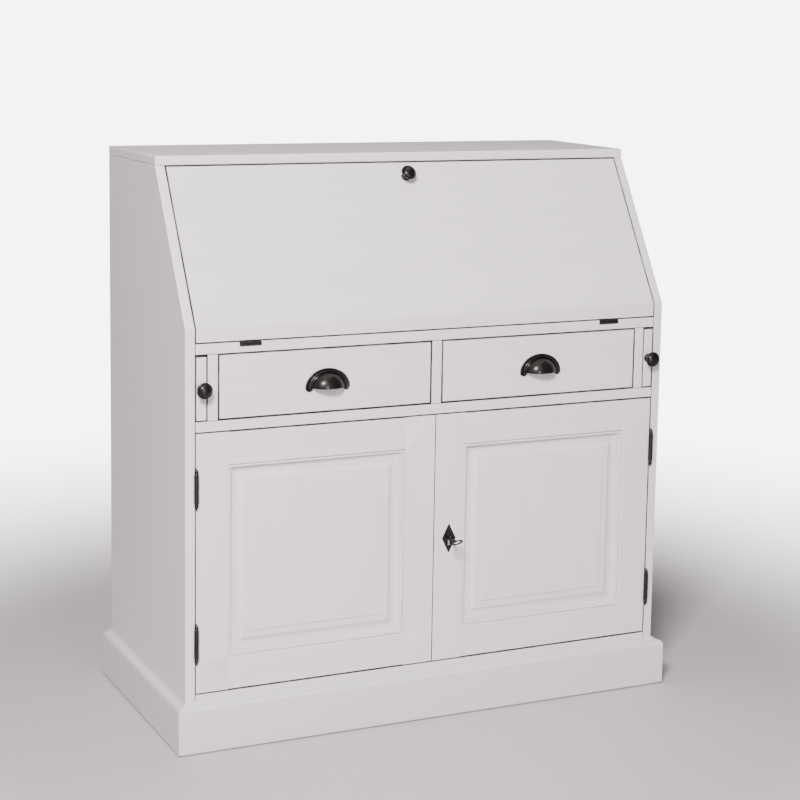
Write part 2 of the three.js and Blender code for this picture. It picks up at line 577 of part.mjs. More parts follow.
// ---- Door hinges: lift-off pairs, each half a leaf, a knuckle and a finial -----------------

// A turned finial along +Z from the origin.
function finial(up) {
  const profile = new THREE.Path().moveTo(0, -1).lineTo(DOOR_KNUCKLE_RADIUS, -1)
    .lineTo(DOOR_KNUCKLE_RADIUS, 1).lineTo(3.2, 2.2)
    .quadraticCurveTo(4.6, 5, 2.6, 8)
    .quadraticCurveTo(1.6, 10, 0, FINIAL_HEIGHT);
  const turned = new THREE.LatheGeometry(profile.getPoints(3), ROUND).rotateX(Math.PI / 2);
  return up ? turned : turned.rotateX(Math.PI);
}

function doorHingeFixed(side, z) {
  const x = side * DOOR_PIN_X;
  const [low, high] = hingeSpan(z);
  const leaf = [side * INNER, side * (INNER + DOOR_LEAF_THICKNESS)];
  return surface(joined(
    block(leaf, [FIT, DOOR_LEAF_DEPTH], [low, high]),
    block(leaf, [DOOR_PIN_Y, FIT + 1], [low, z - FIT]),
    rodAlongZ(DOOR_KNUCKLE_RADIUS, low, z - FIT, x, DOOR_PIN_Y),
    rodAlongZ(DOOR_PIN_RADIUS, low + 1, high - 6, x, DOOR_PIN_Y),
    finial(false).translate(x, DOOR_PIN_Y, low)));
}

function doorHingeMoving(side, z) {
  const x = side * DOOR_PIN_X;
  const [low, high] = hingeSpan(z);
  const leaf = [side * DOOR_OUTER, side * (DOOR_OUTER - DOOR_LEAF_THICKNESS)];
  const body = joined(
    block(leaf, [FIT, DOOR_LEAF_DEPTH], [low, high]),
    block(leaf, [DOOR_PIN_Y, FIT + 1], [z + FIT, high]),
    rodAlongZ(DOOR_KNUCKLE_RADIUS, z + FIT, high, x, DOOR_PIN_Y),
    finial(true).translate(x, DOOR_PIN_Y, high));
  return surface(without(body,
    rodAlongZ(DOOR_PIN_RADIUS + PIN_FIT, z - 1, high - 5, x, DOOR_PIN_Y)));
}

// ---- Lock, key and escutcheon on the right door --------------------------------------------

const LOCK_X = [DOOR_MEETING + LOCK_EDGE, DOOR_MEETING + LOCK_EDGE + LOCK_WIDTH];
const LOCK_Z = [KEY_HEIGHT - LOCK_HEIGHT / 2, KEY_HEIGHT + LOCK_HEIGHT / 2];
const LOCK_Y = [DOOR_THICKNESS, DOOR_THICKNESS + LOCK_DEPTH];
const BOLT_LOW = KEY_HEIGHT + KEY_BIT_RADIUS + BOLT_CLEARANCE + 1;
const BOLT_X = [LOCK_X[0], LOCK_X[1] - LOCK_WALL - 1];
const BOLT_Y = [DOOR_THICKNESS + BOLT_CLEARANCE, DOOR_THICKNESS + BOLT_CLEARANCE + BOLT_THICKNESS];
const BOLT_Z = [BOLT_LOW, BOLT_LOW + BOLT_HEIGHT];

add('lock_case', steel, surface(without(solid(block(LOCK_X, LOCK_Y, LOCK_Z)),
  block(widened(LOCK_X, -LOCK_WALL), [0, LOCK_Y[1] - LOCK_WALL], widened(LOCK_Z, -LOCK_WALL)),
  block([LOCK_X[0] - 1, LOCK_X[0] + LOCK_WALL + 1], [0, BOLT_Y[1] + BOLT_CLEARANCE],
    widened(BOLT_Z, BOLT_CLEARANCE)))));
add('lock_bolt', steel, block(BOLT_X, BOLT_Y, BOLT_Z));

function key() {
  const ring = new THREE.Shape();
  ring.absellipse(0, 0, BOW_HALF_WIDTH, BOW_HALF_LENGTH, 0, 2 * Math.PI);
  const hole = new THREE.Path();
  hole.absellipse(0, 0, BOW_HALF_WIDTH - BOW_BAND, BOW_HALF_LENGTH - BOW_BAND, 0, 2 * Math.PI);
  ring.holes.push(hole);
  const bow = new THREE.ExtrudeGeometry(ring,
    { depth: BOW_BAND, bevelEnabled: false, curveSegments: ROUND / 2 })
    .translate(0, -KEY_REACH - BOW_HALF_LENGTH + BOW_BAND / 2, -BOW_BAND / 2);
  const body = joined(bow,
    rodAlongY(KEY_SHAFT_RADIUS, -KEY_REACH, DOOR_THICKNESS + KEY_ENTRY, 0, 0),
    rodAlongY(KEY_SHAFT_RADIUS + 1.2, -KEY_REACH + 2, -KEY_REACH + 5, 0, 0),
    block([0, KEY_BIT_RADIUS], [DOOR_THICKNESS + 3, DOOR_THICKNESS + KEY_ENTRY - 1],
      [-KEY_BIT_THICKNESS / 2, KEY_BIT_THICKNESS / 2]));
  return surface(body).rotateY(-THREE.MathUtils.degToRad(KEY_TILT))
    .translate(KEY_CENTRE, 0, KEY_HEIGHT);
}
add('key', bronze, key());

function escutcheon() {
  const [w, h] = [ESCUTCHEON_WIDTH / 2, ESCUTCHEON_HEIGHT / 2];
  const diamond = new THREE.Shape([[0, -h], [w, 0], [0, h], [-w, 0]]
    .map(([x, z]) => new THREE.Vector2(x, z)));
  const plate = drawnAlongY(diamond, -ESCUTCHEON_THICKNESS, 0).translate(KEY_CENTRE, 0, KEY_HEIGHT);
  return surface(solid(plate).subtract(keyhole(...THROUGH.map((y) => y - DOOR_THICKNESS / 2))));
}
add('escutcheon', bronze, escutcheon());

// The origin stands halfway between the back and the key's bow, the foremost point.
const FOREMOST = -KEY_REACH - 2 * BOW_HALF_LENGTH + BOW_BAND / 2;
desk.position.y = -(DEPTH + FOREMOST) / 2;

export default desk;
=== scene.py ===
# %% [markdown]
# # Dressing a secretary desk
#
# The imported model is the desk's frame. Every board, hinge and knob is in it, at its real size and
# in its real place, but each is a plain solid with hard corners. This notebook gives each of them
# its finished surface: eased and painted boards, moulded door frames, turned knobs, screws.
#
# A finished piece stands for a solid of the frame and rides on the same body, so that it opens,
# slides and turns with it.

# %% Load the desk as a fixed frame
import json
import math

import bmesh
import bpy
from mathutils import Matrix, Quaternion, Vector


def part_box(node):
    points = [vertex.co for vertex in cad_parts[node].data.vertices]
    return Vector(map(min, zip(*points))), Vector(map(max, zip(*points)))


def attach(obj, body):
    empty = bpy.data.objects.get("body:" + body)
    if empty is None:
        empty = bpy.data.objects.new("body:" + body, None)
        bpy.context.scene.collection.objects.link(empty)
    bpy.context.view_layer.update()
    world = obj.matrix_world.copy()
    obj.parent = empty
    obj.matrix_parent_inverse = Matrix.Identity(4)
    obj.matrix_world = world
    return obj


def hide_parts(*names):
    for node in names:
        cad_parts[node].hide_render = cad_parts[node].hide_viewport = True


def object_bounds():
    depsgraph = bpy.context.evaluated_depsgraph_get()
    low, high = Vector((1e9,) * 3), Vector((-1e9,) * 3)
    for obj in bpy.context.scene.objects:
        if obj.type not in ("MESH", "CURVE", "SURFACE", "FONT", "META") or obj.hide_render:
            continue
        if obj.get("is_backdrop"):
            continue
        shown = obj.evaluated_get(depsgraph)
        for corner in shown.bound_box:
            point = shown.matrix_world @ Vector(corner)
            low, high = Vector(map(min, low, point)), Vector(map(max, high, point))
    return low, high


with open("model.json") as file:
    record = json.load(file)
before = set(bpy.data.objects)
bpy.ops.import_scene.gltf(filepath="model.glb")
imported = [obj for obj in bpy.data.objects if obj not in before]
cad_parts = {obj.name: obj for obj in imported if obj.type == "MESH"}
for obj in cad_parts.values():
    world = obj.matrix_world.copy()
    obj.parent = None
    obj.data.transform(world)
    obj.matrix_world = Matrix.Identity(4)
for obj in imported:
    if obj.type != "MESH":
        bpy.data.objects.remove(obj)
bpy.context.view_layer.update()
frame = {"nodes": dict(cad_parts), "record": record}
scene = bpy.context.scene
MM = 0.001

# %% Know which body each node belongs to
body_of = {
    node: body
    for body, nodes in frame["record"]["behaviour"]["bodies"].items()
    for node in nodes
}
SIDES = {"left": -1, "right": 1}

# %% Measure the front
# The front is upright as far as the kink, 27 mm above the writing board, and leans back from there.
SLOPE_START = 27 * MM

carcass_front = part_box("side_panel_left")[0].y
INNER_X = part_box("side_panel_right")[0].x
top_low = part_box("top_board")[0]
writing_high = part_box("writing_board")[1]
kink = Vector((0, carcass_front, writing_high.z + SLOPE_START))
slope = math.atan2(top_low.y - carcass_front, top_low.z - kink.z)
up_slope = Vector((0, math.sin(slope), math.cos(slope)))
off_slope = Vector((0, -math.cos(slope), math.sin(slope)))
print("the upper front leans back", round(math.degrees(slope), 1), "degrees")

# %% [markdown]
# ## The camera
#
# The desk is seen from a little to its left, from a standing person's eye height. A long lens
# keeps the boards straight. A small upward tilt of the whole picture would make the sides lean, so
# the lens is shifted down a little instead, as an architect's camera is.

# %% Place the camera
CAMERA_PLACE = Vector((-1.570, -3.391, 1.333))
CAMERA_AZIMUTH = math.radians(25.12)
CAMERA_ELEVATION = math.radians(8.18)
CAMERA_ROLL = math.radians(0.9)

looking = Vector((
    math.sin(CAMERA_AZIMUTH) * math.cos(CAMERA_ELEVATION),
    math.cos(CAMERA_AZIMUTH) * math.cos(CAMERA_ELEVATION),
    -math.sin(CAMERA_ELEVATION),
))
camera = bpy.data.objects.new("camera", bpy.data.cameras.new("camera"))
camera.data.sensor_width = 36
camera.data.lens = 85.5
camera.data.shift_y = -0.13
camera.rotation_mode = "QUATERNION"
camera.location = CAMERA_PLACE
camera.rotation_quaternion = Quaternion(looking, -CAMERA_ROLL) @ looking.to_track_quat("-Z", "Y")
scene.collection.objects.link(camera)
scene.camera = camera
print("the camera stands", round(CAMERA_PLACE.length, 2), "metres from the desk")

# %% [markdown]
# ## Floor and light
#
# A plain pale floor and a pale world give soft light from everywhere. The world looks brighter to
# the camera than it shines, like a white wall that stands well behind the desk, and the floor
# fades into it. A big lamp above and to the left models the mouldings, and a tall narrow lamp in
# front makes the bright spot that shows how glossy the metal is. The camera doesn't see the lamps.


# %% A helper for shader nodes
def put(tree, kind, inputs=None, **settings):
    """Adds a shader node. An input that is another node's socket is linked, the rest are values."""
    node = tree.nodes.new("ShaderNode" + kind)
    for name, value in settings.items():
        setattr(node, name, value)
    for name, value in (inputs or {}).items():
        if isinstance(value, bpy.types.NodeSocket):
            tree.links.new(value, node.inputs[name])
        else:
            node.inputs[name].default_value = value
    return node


def new_material(name):
    """An empty node material, its tree and the Principled BSDF that it shows."""
    material = bpy.data.materials.new(name)
    material.use_nodes = True
    tree = material.node_tree
    return material, tree, tree.nodes["Principled BSDF"]


# %% Lay the floor
FLOOR_HALF = 14.0
FLOOR_COLOUR = (0.465, 0.42, 0.425, 1)
ROOM_COLOUR = (1.0, 0.94, 0.96, 1)
ROOM_GLOW = 0.20
ROOM_SEEN = 7.0
FLOOR_NEAR = 0.8
FLOOR_FAR = 2.8

floor_paint, tree, shader = new_material("floor_paint")
place = put(tree, "TexCoord").outputs["Object"]
distance = put(tree, "VectorMath", {0: place}, operation="LENGTH").outputs["Value"]
fade = put(tree, "MapRange", {
    "Value": distance, "From Min": FLOOR_NEAR, "From Max": FLOOR_FAR},
    interpolation_type="SMOOTHSTEP").outputs["Result"]
seen = put(tree, "LightPath").outputs["Is Camera Ray"]
glow = put(tree, "Math", {0: fade, 1: seen}, operation="MULTIPLY").outputs["Value"]
bright = put(tree, "Math", {0: glow, 1: ROOM_SEEN}, operation="MULTIPLY").outputs["Value"]
shader.inputs["Base Color"].default_value = FLOOR_COLOUR
shader.inputs["Roughness"].default_value = 0.6
shader.inputs["Emission Color"].default_value = ROOM_COLOUR
tree.links.new(bright, shader.inputs["Emission Strength"])

floor_shape = bmesh.new()
bmesh.ops.create_grid(floor_shape, x_segments=4, y_segments=4, size=FLOOR_HALF)
floor_mesh = bpy.data.meshes.new("floor")
floor_shape.to_mesh(floor_mesh)
floor_shape.free()
floor_mesh.materials.append(floor_paint)
floor = bpy.data.objects.new("floor", floor_mesh)
scene.collection.objects.link(floor)
floor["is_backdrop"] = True

# %% Light the room
scene.world = bpy.data.worlds.new("pale_room")
scene.world.use_nodes = True
tree = scene.world.node_tree
background = tree.nodes["Background"]
background.inputs["Color"].default_value = ROOM_COLOUR
seen = put(tree, "LightPath").outputs["Is Camera Ray"]
strength = put(tree, "MapRange", {"Value": seen, "To Min": ROOM_GLOW, "To Max": ROOM_SEEN})
tree.links.new(strength.outputs["Result"], background.inputs["Strength"])


def lamp(name, place, aim, width, height, watts):
    """A soft rectangular lamp that shines from place towards aim and isn't seen itself."""
    light = bpy.data.lights.new(name, "AREA")
    light.shape = "RECTANGLE"
    light.size = width
    light.size_y = height
    light.energy = watts
    holder = bpy.data.objects.new(name, light)
    holder.location = place
    holder.rotation_mode = "QUATERNION"
    holder.rotation_quaternion = (Vector(aim) - Vector(place)).to_track_quat("-Z", "Y")
    holder.visible_camera = False
    scene.collection.objects.link(holder)
    return holder


lamps = [
    lamp("big_soft_lamp", (-1.9, -3.0, 2.9), (0, 0, 0.5), 0.9, 0.9, 420),
    lamp("ceiling_lamp", (0.3, -0.3, 4.0), (0, 0, 0.5), 2.5, 2.5, 40),
    lamp("tall_window_lamp", (-0.45, -4.2, 0.65), (0, -0.2, 0.6), 0.45, 1.3, 55),
]
print("lamps:", [holder.name for holder in lamps])

# %% [markdown]
# ## Shared surface effects
#
# The same small effects appear in several finishes: the worn edges, the dust in corners, the long
# figure of pine. Each is built once as a node group with named inputs and outputs, and each
# material places it with its own values. A group only makes masks and heights. The shader itself
# stays in the material.


# %% A helper for node groups
def shader_group(name, inputs, outputs):
    """A new group, the sockets that come in and the sockets that go out."""
    tree = bpy.data.node_groups.new(name, "ShaderNodeTree")
    for socket, value in inputs.items():
        kind = "NodeSocketVector" if isinstance(value, tuple) else "NodeSocketFloat"
        tree.interface.new_socket(socket, in_out="INPUT", socket_type=kind).default_value = value
    for socket in outputs:
        tree.interface.new_socket(socket, in_out="OUTPUT", socket_type="NodeSocketFloat")
    incoming = tree.nodes.new("NodeGroupInput").outputs
    outgoing = tree.nodes.new("NodeGroupOutput").inputs
    return tree, incoming, outgoing


def use_group(tree, group, inputs):
    """Places a group in a material and returns its outputs."""
    return put(tree, "Group", inputs, node_tree=group).outputs


# %% Edge wear
# Pointiness is above one half on outward corners. Noise breaks the line up, so that an edge is
# rubbed here and there and not all along.
edge_wear, incoming, outgoing = shader_group(
    "edge_wear", {"Vector": (0.0, 0.0, 0.0), "Scale": 60.0, "From": 0.52, "To": 0.60}, ["Mask"])
pointed = put(edge_wear, "NewGeometry").outputs["Pointiness"]
edge = put(edge_wear, "MapRange", {
    "Value": pointed, "From Min": incoming["From"], "From Max": incoming["To"]}).outputs["Result"]
patches = put(edge_wear, "TexNoise", {
    "Vector": incoming["Vector"], "Scale": incoming["Scale"], "Detail": 4.0}).outputs["Fac"]
broken = put(edge_wear, "MapRange", {
    "Value": patches, "From Min": 0.35, "From Max": 0.65}).outputs["Result"]
worn = put(edge_wear, "Math", {0: edge, 1: broken}, operation="MULTIPLY").outputs["Value"]
edge_wear.links.new(worn, outgoing["Mask"])

# %% Dust and shade in corners
# Pointiness is below one half in inward corners, where dust and old polish stay and where shade
# falls. The mask darkens them for both, so part of it is painted shade.
corner_dust_and_shade, incoming, outgoing = shader_group(
    "corner_dust_and_shade", {"Vector": (0.0, 0.0, 0.0), "Scale": 40.0}, ["Mask"])
pointed = put(corner_dust_and_shade, "NewGeometry").outputs["Pointiness"]
hollow = put(corner_dust_and_shade, "MapRange", {
    "Value": pointed, "From Min": 0.49, "From Max": 0.42}).outputs["Result"]
patches = put(corner_dust_and_shade, "TexNoise", {
    "Vector": incoming["Vector"], "Scale": incoming["Scale"], "Detail": 3.0}).outputs["Fac"]
spread = put(corner_dust_and_shade, "MapRange", {
    "Value": patches, "From Min": 0.2, "From Max": 0.7, "To Min": 0.35}).outputs["Result"]
corner_darkening = put(corner_dust_and_shade, "Math", {0: hollow, 1: spread}, operation="MULTIPLY").outputs["Value"]
corner_dust_and_shade.links.new(corner_darkening, outgoing["Mask"])

# %% Painted shade in the gaps
# The gaps between boards look nearly black on the real desk, and on this stage they came out too
# light, so the mask paints the boards' edges near black: this is painted shade. How much of the
# real darkness is grime isn't known. It moves with its board, so the painted shade also lies on
# the edge of an open door.
# The mask is 1 on faces that look sideways, in the first few millimetres behind the front. Depth
# is counted from the upright or the leaning front, whichever is nearer.
GAP_SHADE_START = (0.02 * MM, 0.15 * MM)
GAP_SHADE_END = (5.0 * MM, 10.0 * MM)
GAP_SHADE_FACING = (0.97, 0.86)
GAP_SHADE_ACROSS = (INNER_X + 2.0 * MM, INNER_X + 1.2 * MM)
GAP_SHADE_HEIGHT = (top_low.z + 1.0 * MM, top_low.z + 0.5 * MM)


def mask_between(tree, value, low, high):
    """0 below low and 1 above high, and the other way round if low is the greater."""
    return put(tree, "MapRange", {
        "Value": value, "From Min": low, "From Max": high},
        interpolation_type="SMOOTHSTEP").outputs["Result"]


def all_of(tree, *masks):
    product = masks[0]
    for mask in masks[1:]:
        product = put(tree, "Math", {0: product, 1: mask}, operation="MULTIPLY").outputs["Value"]
    return product


gap_shade, incoming, outgoing = shader_group(
    "gap_shade", {"Vector": (0.0, 0.0, 0.0), "Normal": (0.0, 0.0, 1.0)}, ["Mask"])
place = put(gap_shade, "SeparateXYZ", {"Vector": incoming["Vector"]}).outputs
upright_depth = put(gap_shade, "Math", {
    0: place["Y"], 1: carcass_front}, operation="SUBTRACT").outputs["Value"]
from_kink = put(gap_shade, "VectorMath", {
    0: incoming["Vector"], 1: kink}, operation="SUBTRACT").outputs["Vector"]
leaning_depth = put(gap_shade, "VectorMath", {
    0: from_kink, 1: -off_slope}, operation="DOT_PRODUCT").outputs["Value"]
depth = put(gap_shade, "Math", {
    0: upright_depth, 1: leaning_depth}, operation="MINIMUM").outputs["Value"]
facing_out = put(gap_shade, "VectorMath", {
    0: incoming["Normal"], 1: (0, -1, 0)}, operation="DOT_PRODUCT").outputs["Value"]
across = put(gap_shade, "Math", {0: place["X"]}, operation="ABSOLUTE").outputs["Value"]
patches = put(gap_shade, "TexNoise", {
    "Vector": incoming["Vector"], "Scale": 25.0, "Detail": 3.0}).outputs["Fac"]
painted_gap_shade = all_of(
    gap_shade,
    mask_between(gap_shade, depth, *GAP_SHADE_START),
    mask_between(gap_shade, depth, *reversed(GAP_SHADE_END)),
    mask_between(gap_shade, facing_out, *GAP_SHADE_FACING),
    mask_between(gap_shade, across, *GAP_SHADE_ACROSS),
    mask_between(gap_shade, place["Z"], *GAP_SHADE_HEIGHT),
    put(gap_shade, "MapRange", {
        "Value": patches, "From Min": 0.3, "From Max": 0.6, "To Min": 0.75}).outputs["Result"])
gap_shade.links.new(painted_gap_shade, outgoing["Mask"])

# %% The figure of pine
# Broad noise cut into bands gives the growth rings of a sawn board, and much finer noise gives
# its pores. The vector is already stretched along the grain by the material.
pine_figure, incoming, outgoing = shader_group(
    "pine_figure", {"Vector": (0.0, 0.0, 0.0), "Rings": 7.0}, ["Rings", "Pores", "Clouds"])
broad = put(pine_figure, "TexNoise", {
    "Vector": incoming["Vector"], "Scale": 9.0, "Detail": 2.0, "Roughness": 0.4,
    "Distortion": 0.3}).outputs["Fac"]
many = put(pine_figure, "Math", {
    0: broad, 1: incoming["Rings"]}, operation="MULTIPLY").outputs["Value"]
folded = put(pine_figure, "Math", {0: many, 1: 0.5}, operation="PINGPONG").outputs["Value"]
banded = put(pine_figure, "MapRange", {
    "Value": folded, "From Min": 0.08, "From Max": 0.5}, interpolation_type="SMOOTHSTEP")
fine = put(pine_figure, "TexNoise", {
    "Vector": incoming["Vector"], "Scale": 330.0, "Detail": 3.0, "Roughness": 0.6}).outputs["Fac"]
clouds = put(pine_figure, "TexNoise", {
    "Vector": incoming["Vector"], "Scale": 3.0, "Detail": 2.0}).outputs["Fac"]
pine_figure.links.new(banded.outputs["Result"], outgoing["Rings"])
pine_figure.links.new(fine, outgoing["Pores"])
pine_figure.links.new(clouds, outgoing["Clouds"])

# %% Brush marks
# A brush leaves ridges a millimetre or so apart, which waver, start and stop.
brush_marks, incoming, outgoing = shader_group(
    "brush_marks", {"Vector": (0.0, 0.0, 0.0), "Scale": 210.0}, ["Height"])
ridges = put(brush_marks, "TexNoise", {
    "Vector": incoming["Vector"], "Scale": incoming["Scale"], "Detail": 2.0,
    "Distortion": 0.4}).outputs["Fac"]
strokes = put(brush_marks, "TexNoise", {
    "Vector": incoming["Vector"], "Scale": 55.0, "Detail": 1.0}).outputs["Fac"]
laid = put(brush_marks, "Math", {0: ridges, 1: strokes}, operation="MULTIPLY").outputs["Value"]
brush_marks.links.new(laid, outgoing["Height"])

# %% [markdown]
# ## The paint
#
# The desk is pine under a satin warm grey paint. Most of the pine is hidden, but its rings and the
# brush still show faintly when light grazes a board. Both run along the board, so there is one
# paint for each direction of the grain: across, back to front, and upright.
#
# Each piece carries a number of its own in an attribute called board. It shifts the pattern, so
# that two boards side by side aren't cut from one picture.

# %% Coordinates that run along the grain
GRAIN_STRETCH = 0.045
BOARD_SHIFT = (7.3, 5.1, 3.7)
AXES = {"x": 0, "y": 1, "z": 2}


def along_grain(tree, axis):
    """Object coordinates, shifted for each board and drawn out along the grain."""
    place = put(tree, "TexCoord").outputs["Object"]
    number = put(tree, "Attribute", attribute_name="board").outputs["Fac"]
    shift = put(tree, "VectorMath", {0: BOARD_SHIFT, "Scale": number}, operation="SCALE")
    moved = put(tree, "VectorMath", {0: place, 1: shift.outputs["Vector"]}, operation="ADD")
    stretch = [1.0, 1.0, 1.0]
    stretch[AXES[axis]] = GRAIN_STRETCH
    return put(tree, "Mapping", {
        "Vector": moved.outputs["Vector"], "Scale": stretch}).outputs["Vector"]


def blend_colour(tree, amount, first, second):
    """A colour between two others, each a colour or a socket."""
    node = tree.nodes.new("ShaderNodeMix")
    node.data_type = "RGBA"
    for index, value in ((0, amount), (6, first), (7, second)):
        if isinstance(value, bpy.types.NodeSocket):
            tree.links.new(value, node.inputs[index])
        else:
            node.inputs[index].default_value = value
    return node.outputs[2]


def scaled(tree, value, low, high):
    """A mask from 0 to 1 turned into a value from low to high."""
    return put(tree, "MapRange", {"Value": value, "To Min": low, "To Max": high}).outputs["Result"]


# %% Mix the paint
PAINT = (0.665, 0.588, 0.628, 1)
PAINT_DEEP = (0.615, 0.543, 0.580, 1)
PAINT_RUBBED = (0.78, 0.715, 0.750, 1)
# The next colour darkens corners for dust and painted shade, and the plinth for painted shade. The one
# after paints the shade of the gaps near black.
PAINT_DUST_AND_SHADE = (0.50, 0.465, 0.470, 1)
PAINT_GAP_SHADE = (0.030, 0.026, 0.025, 1)
PAINT_WEAR = {"Scale": 90.0, "From": 0.57, "To": 0.68}


def paint_along(axis):
    material, tree, shader = new_material("satin_paint_" + axis)
    grain = along_grain(tree, axis)
    place = put(tree, "TexCoord").outputs["Object"]
    figure = use_group(tree, pine_figure, {"Vector": grain, "Rings": 9.0})
    brushed = use_group(tree, brush_marks, {"Vector": grain})["Height"]
    rubs_here = put(tree, "Attribute", attribute_name="rubs").outputs["Fac"]
    worn = all_of(
        tree, use_group(tree, edge_wear, {"Vector": place, **PAINT_WEAR})["Mask"], rubs_here)
    dust_and_shade = all_of(tree, use_group(tree, corner_dust_and_shade, {"Vector": place})["Mask"], rubs_here)

    faint = scaled(tree, figure["Rings"], 0.0, 0.35)
    coat = blend_colour(tree, faint, PAINT, PAINT_DEEP)
    cloudy = scaled(tree, figure["Clouds"], 0.0, 0.25)
    coat = blend_colour(tree, cloudy, coat, PAINT_DEEP)
    coat = blend_colour(tree, scaled(tree, worn, 0.0, 0.6), coat, PAINT_RUBBED)
    # The seam layer adds the plinth's painted shade to the same darkening.
    at_seam = put(tree, "Attribute", attribute_name="seam").outputs["Fac"]
    dust_and_shade = put(tree, "Math", {0: dust_and_shade, 1: at_seam}, operation="MAXIMUM").outputs["Value"]
    coat = blend_colour(tree, scaled(tree, dust_and_shade, 0.0, 0.8), coat, PAINT_DUST_AND_SHADE)
    # The gap mask paints shade: edges beside a gap are painted near black.
    normal = put(tree, "TexCoord").outputs["Normal"]
    gap_shaded = use_group(tree, gap_shade, {"Vector": place, "Normal": normal})["Mask"]
    at_gap = put(tree, "Attribute", attribute_name="gap").outputs["Fac"]
    gap_shaded = all_of(tree, gap_shaded, at_gap)
    coat = blend_colour(tree, scaled(tree, gap_shaded, 0.0, 0.96), coat, PAINT_GAP_SHADE)
    tree.links.new(coat, shader.inputs["Base Color"])
    tree.links.new(scaled(tree, brushed, 0.36, 0.60), shader.inputs["Roughness"])

    ringed = put(tree, "Bump", {"Height": figure["Rings"], "Strength": 0.16, "Distance": 0.2 * MM})
    ridged = put(tree, "Bump", {"Height": brushed, "Strength": 0.35, "Distance": 0.2 * MM,
                                "Normal": ringed.outputs["Normal"]})
    tree.links.new(ridged.outputs["Normal"], shader.inputs["Normal"])
    return material


paint = {axis: paint_along(axis) for axis in AXES}
print("paints:", [material.name for material in paint.values()])

# %% [markdown]
# ## Bare pine
#
# The drawer boxes inside are left unpainted. Pine is pale between its growth rings and amber on
# them, and its pores are short dark flecks along the grain.

# %% Plane the pine
PINE_PALE = (0.70, 0.49, 0.275, 1)
PINE_RING = (0.50, 0.285, 0.120, 1)
PINE_PORE = (0.40, 0.235, 0.110, 1)
PINE_HANDLED = (0.76, 0.58, 0.37, 1)


def pine_along(axis):
    material, tree, shader = new_material("bare_pine_" + axis)
    grain = along_grain(tree, axis)
    place = put(tree, "TexCoord").outputs["Object"]
    figure = use_group(tree, pine_figure, {"Vector": grain, "Rings": 11.0})
    worn = use_group(tree, edge_wear, {"Vector": place})["Mask"]
    dust_and_shade = use_group(tree, corner_dust_and_shade, {"Vector": place})["Mask"]

    wood = blend_colour(tree, scaled(tree, figure["Rings"], 0.0, 0.75), PINE_PALE, PINE_RING)
    flecks = put(tree, "MapRange", {
        "Value": figure["Pores"], "From Min": 0.55, "From Max": 0.75, "To Max": 0.5})
    wood = blend_colour(tree, flecks.outputs["Result"], wood, PINE_PORE)
    wood = blend_colour(tree, scaled(tree, figure["Clouds"], 0.0, 0.3), wood, PINE_RING)
    wood = blend_colour(tree, scaled(tree, worn, 0.0, 0.5), wood, PINE_HANDLED)
    # Inward corners are darkened for dust and painted shade.
    wood = blend_colour(tree, scaled(tree, dust_and_shade, 0.0, 0.5), wood, PINE_PORE)
    tree.links.new(wood, shader.inputs["Base Color"])
    tree.links.new(scaled(tree, figure["Pores"], 0.48, 0.72), shader.inputs["Roughness"])

    bump = put(tree, "Bump", {"Height": figure["Pores"], "Strength": 0.3, "Distance": 0.2 * MM})
    tree.links.new(bump.outputs["Normal"], shader.inputs["Normal"])
    return material


pine = {axis: pine_along(axis) for axis in AXES}

# %% [markdown]
# ## Blackened bronze and dull steel
#
# The knobs, pulls and hinges are cast, blackened and lacquered. The lacquer is a thin clear coat,
# which gives the sharp white highlight, over a darker and rougher metal. Where hands and screws
# rub, brown metal shows through.

# %% Cloudy patina and fine scratches
patina, incoming, outgoing = shader_group(
    "patina", {"Vector": (0.0, 0.0, 0.0), "Scale": 120.0}, ["Clouds", "Scratches", "Pits"])
clouds = put(patina, "TexNoise", {
    "Vector": incoming["Vector"], "Scale": incoming["Scale"], "Detail": 5.0,
    "Roughness": 0.65}).outputs["Fac"]
drawn = put(patina, "Mapping", {
    "Vector": incoming["Vector"], "Rotation": (0.4, 0.3, 0.7), "Scale": (1.0, 0.05, 1.0)})
lines = put(patina, "TexNoise", {
    "Vector": drawn.outputs["Vector"], "Scale": 1900.0, "Detail": 1.0}).outputs["Fac"]
scratched = put(patina, "MapRange", {
    "Value": lines, "From Min": 0.66, "From Max": 0.72}).outputs["Result"]
pitted = put(patina, "TexNoise", {
    "Vector": incoming["Vector"], "Scale": 700.0, "Detail": 2.0}).outputs["Fac"]
patina.links.new(clouds, outgoing["Clouds"])
patina.links.new(scratched, outgoing["Scratches"])
patina.links.new(pitted, outgoing["Pits"])


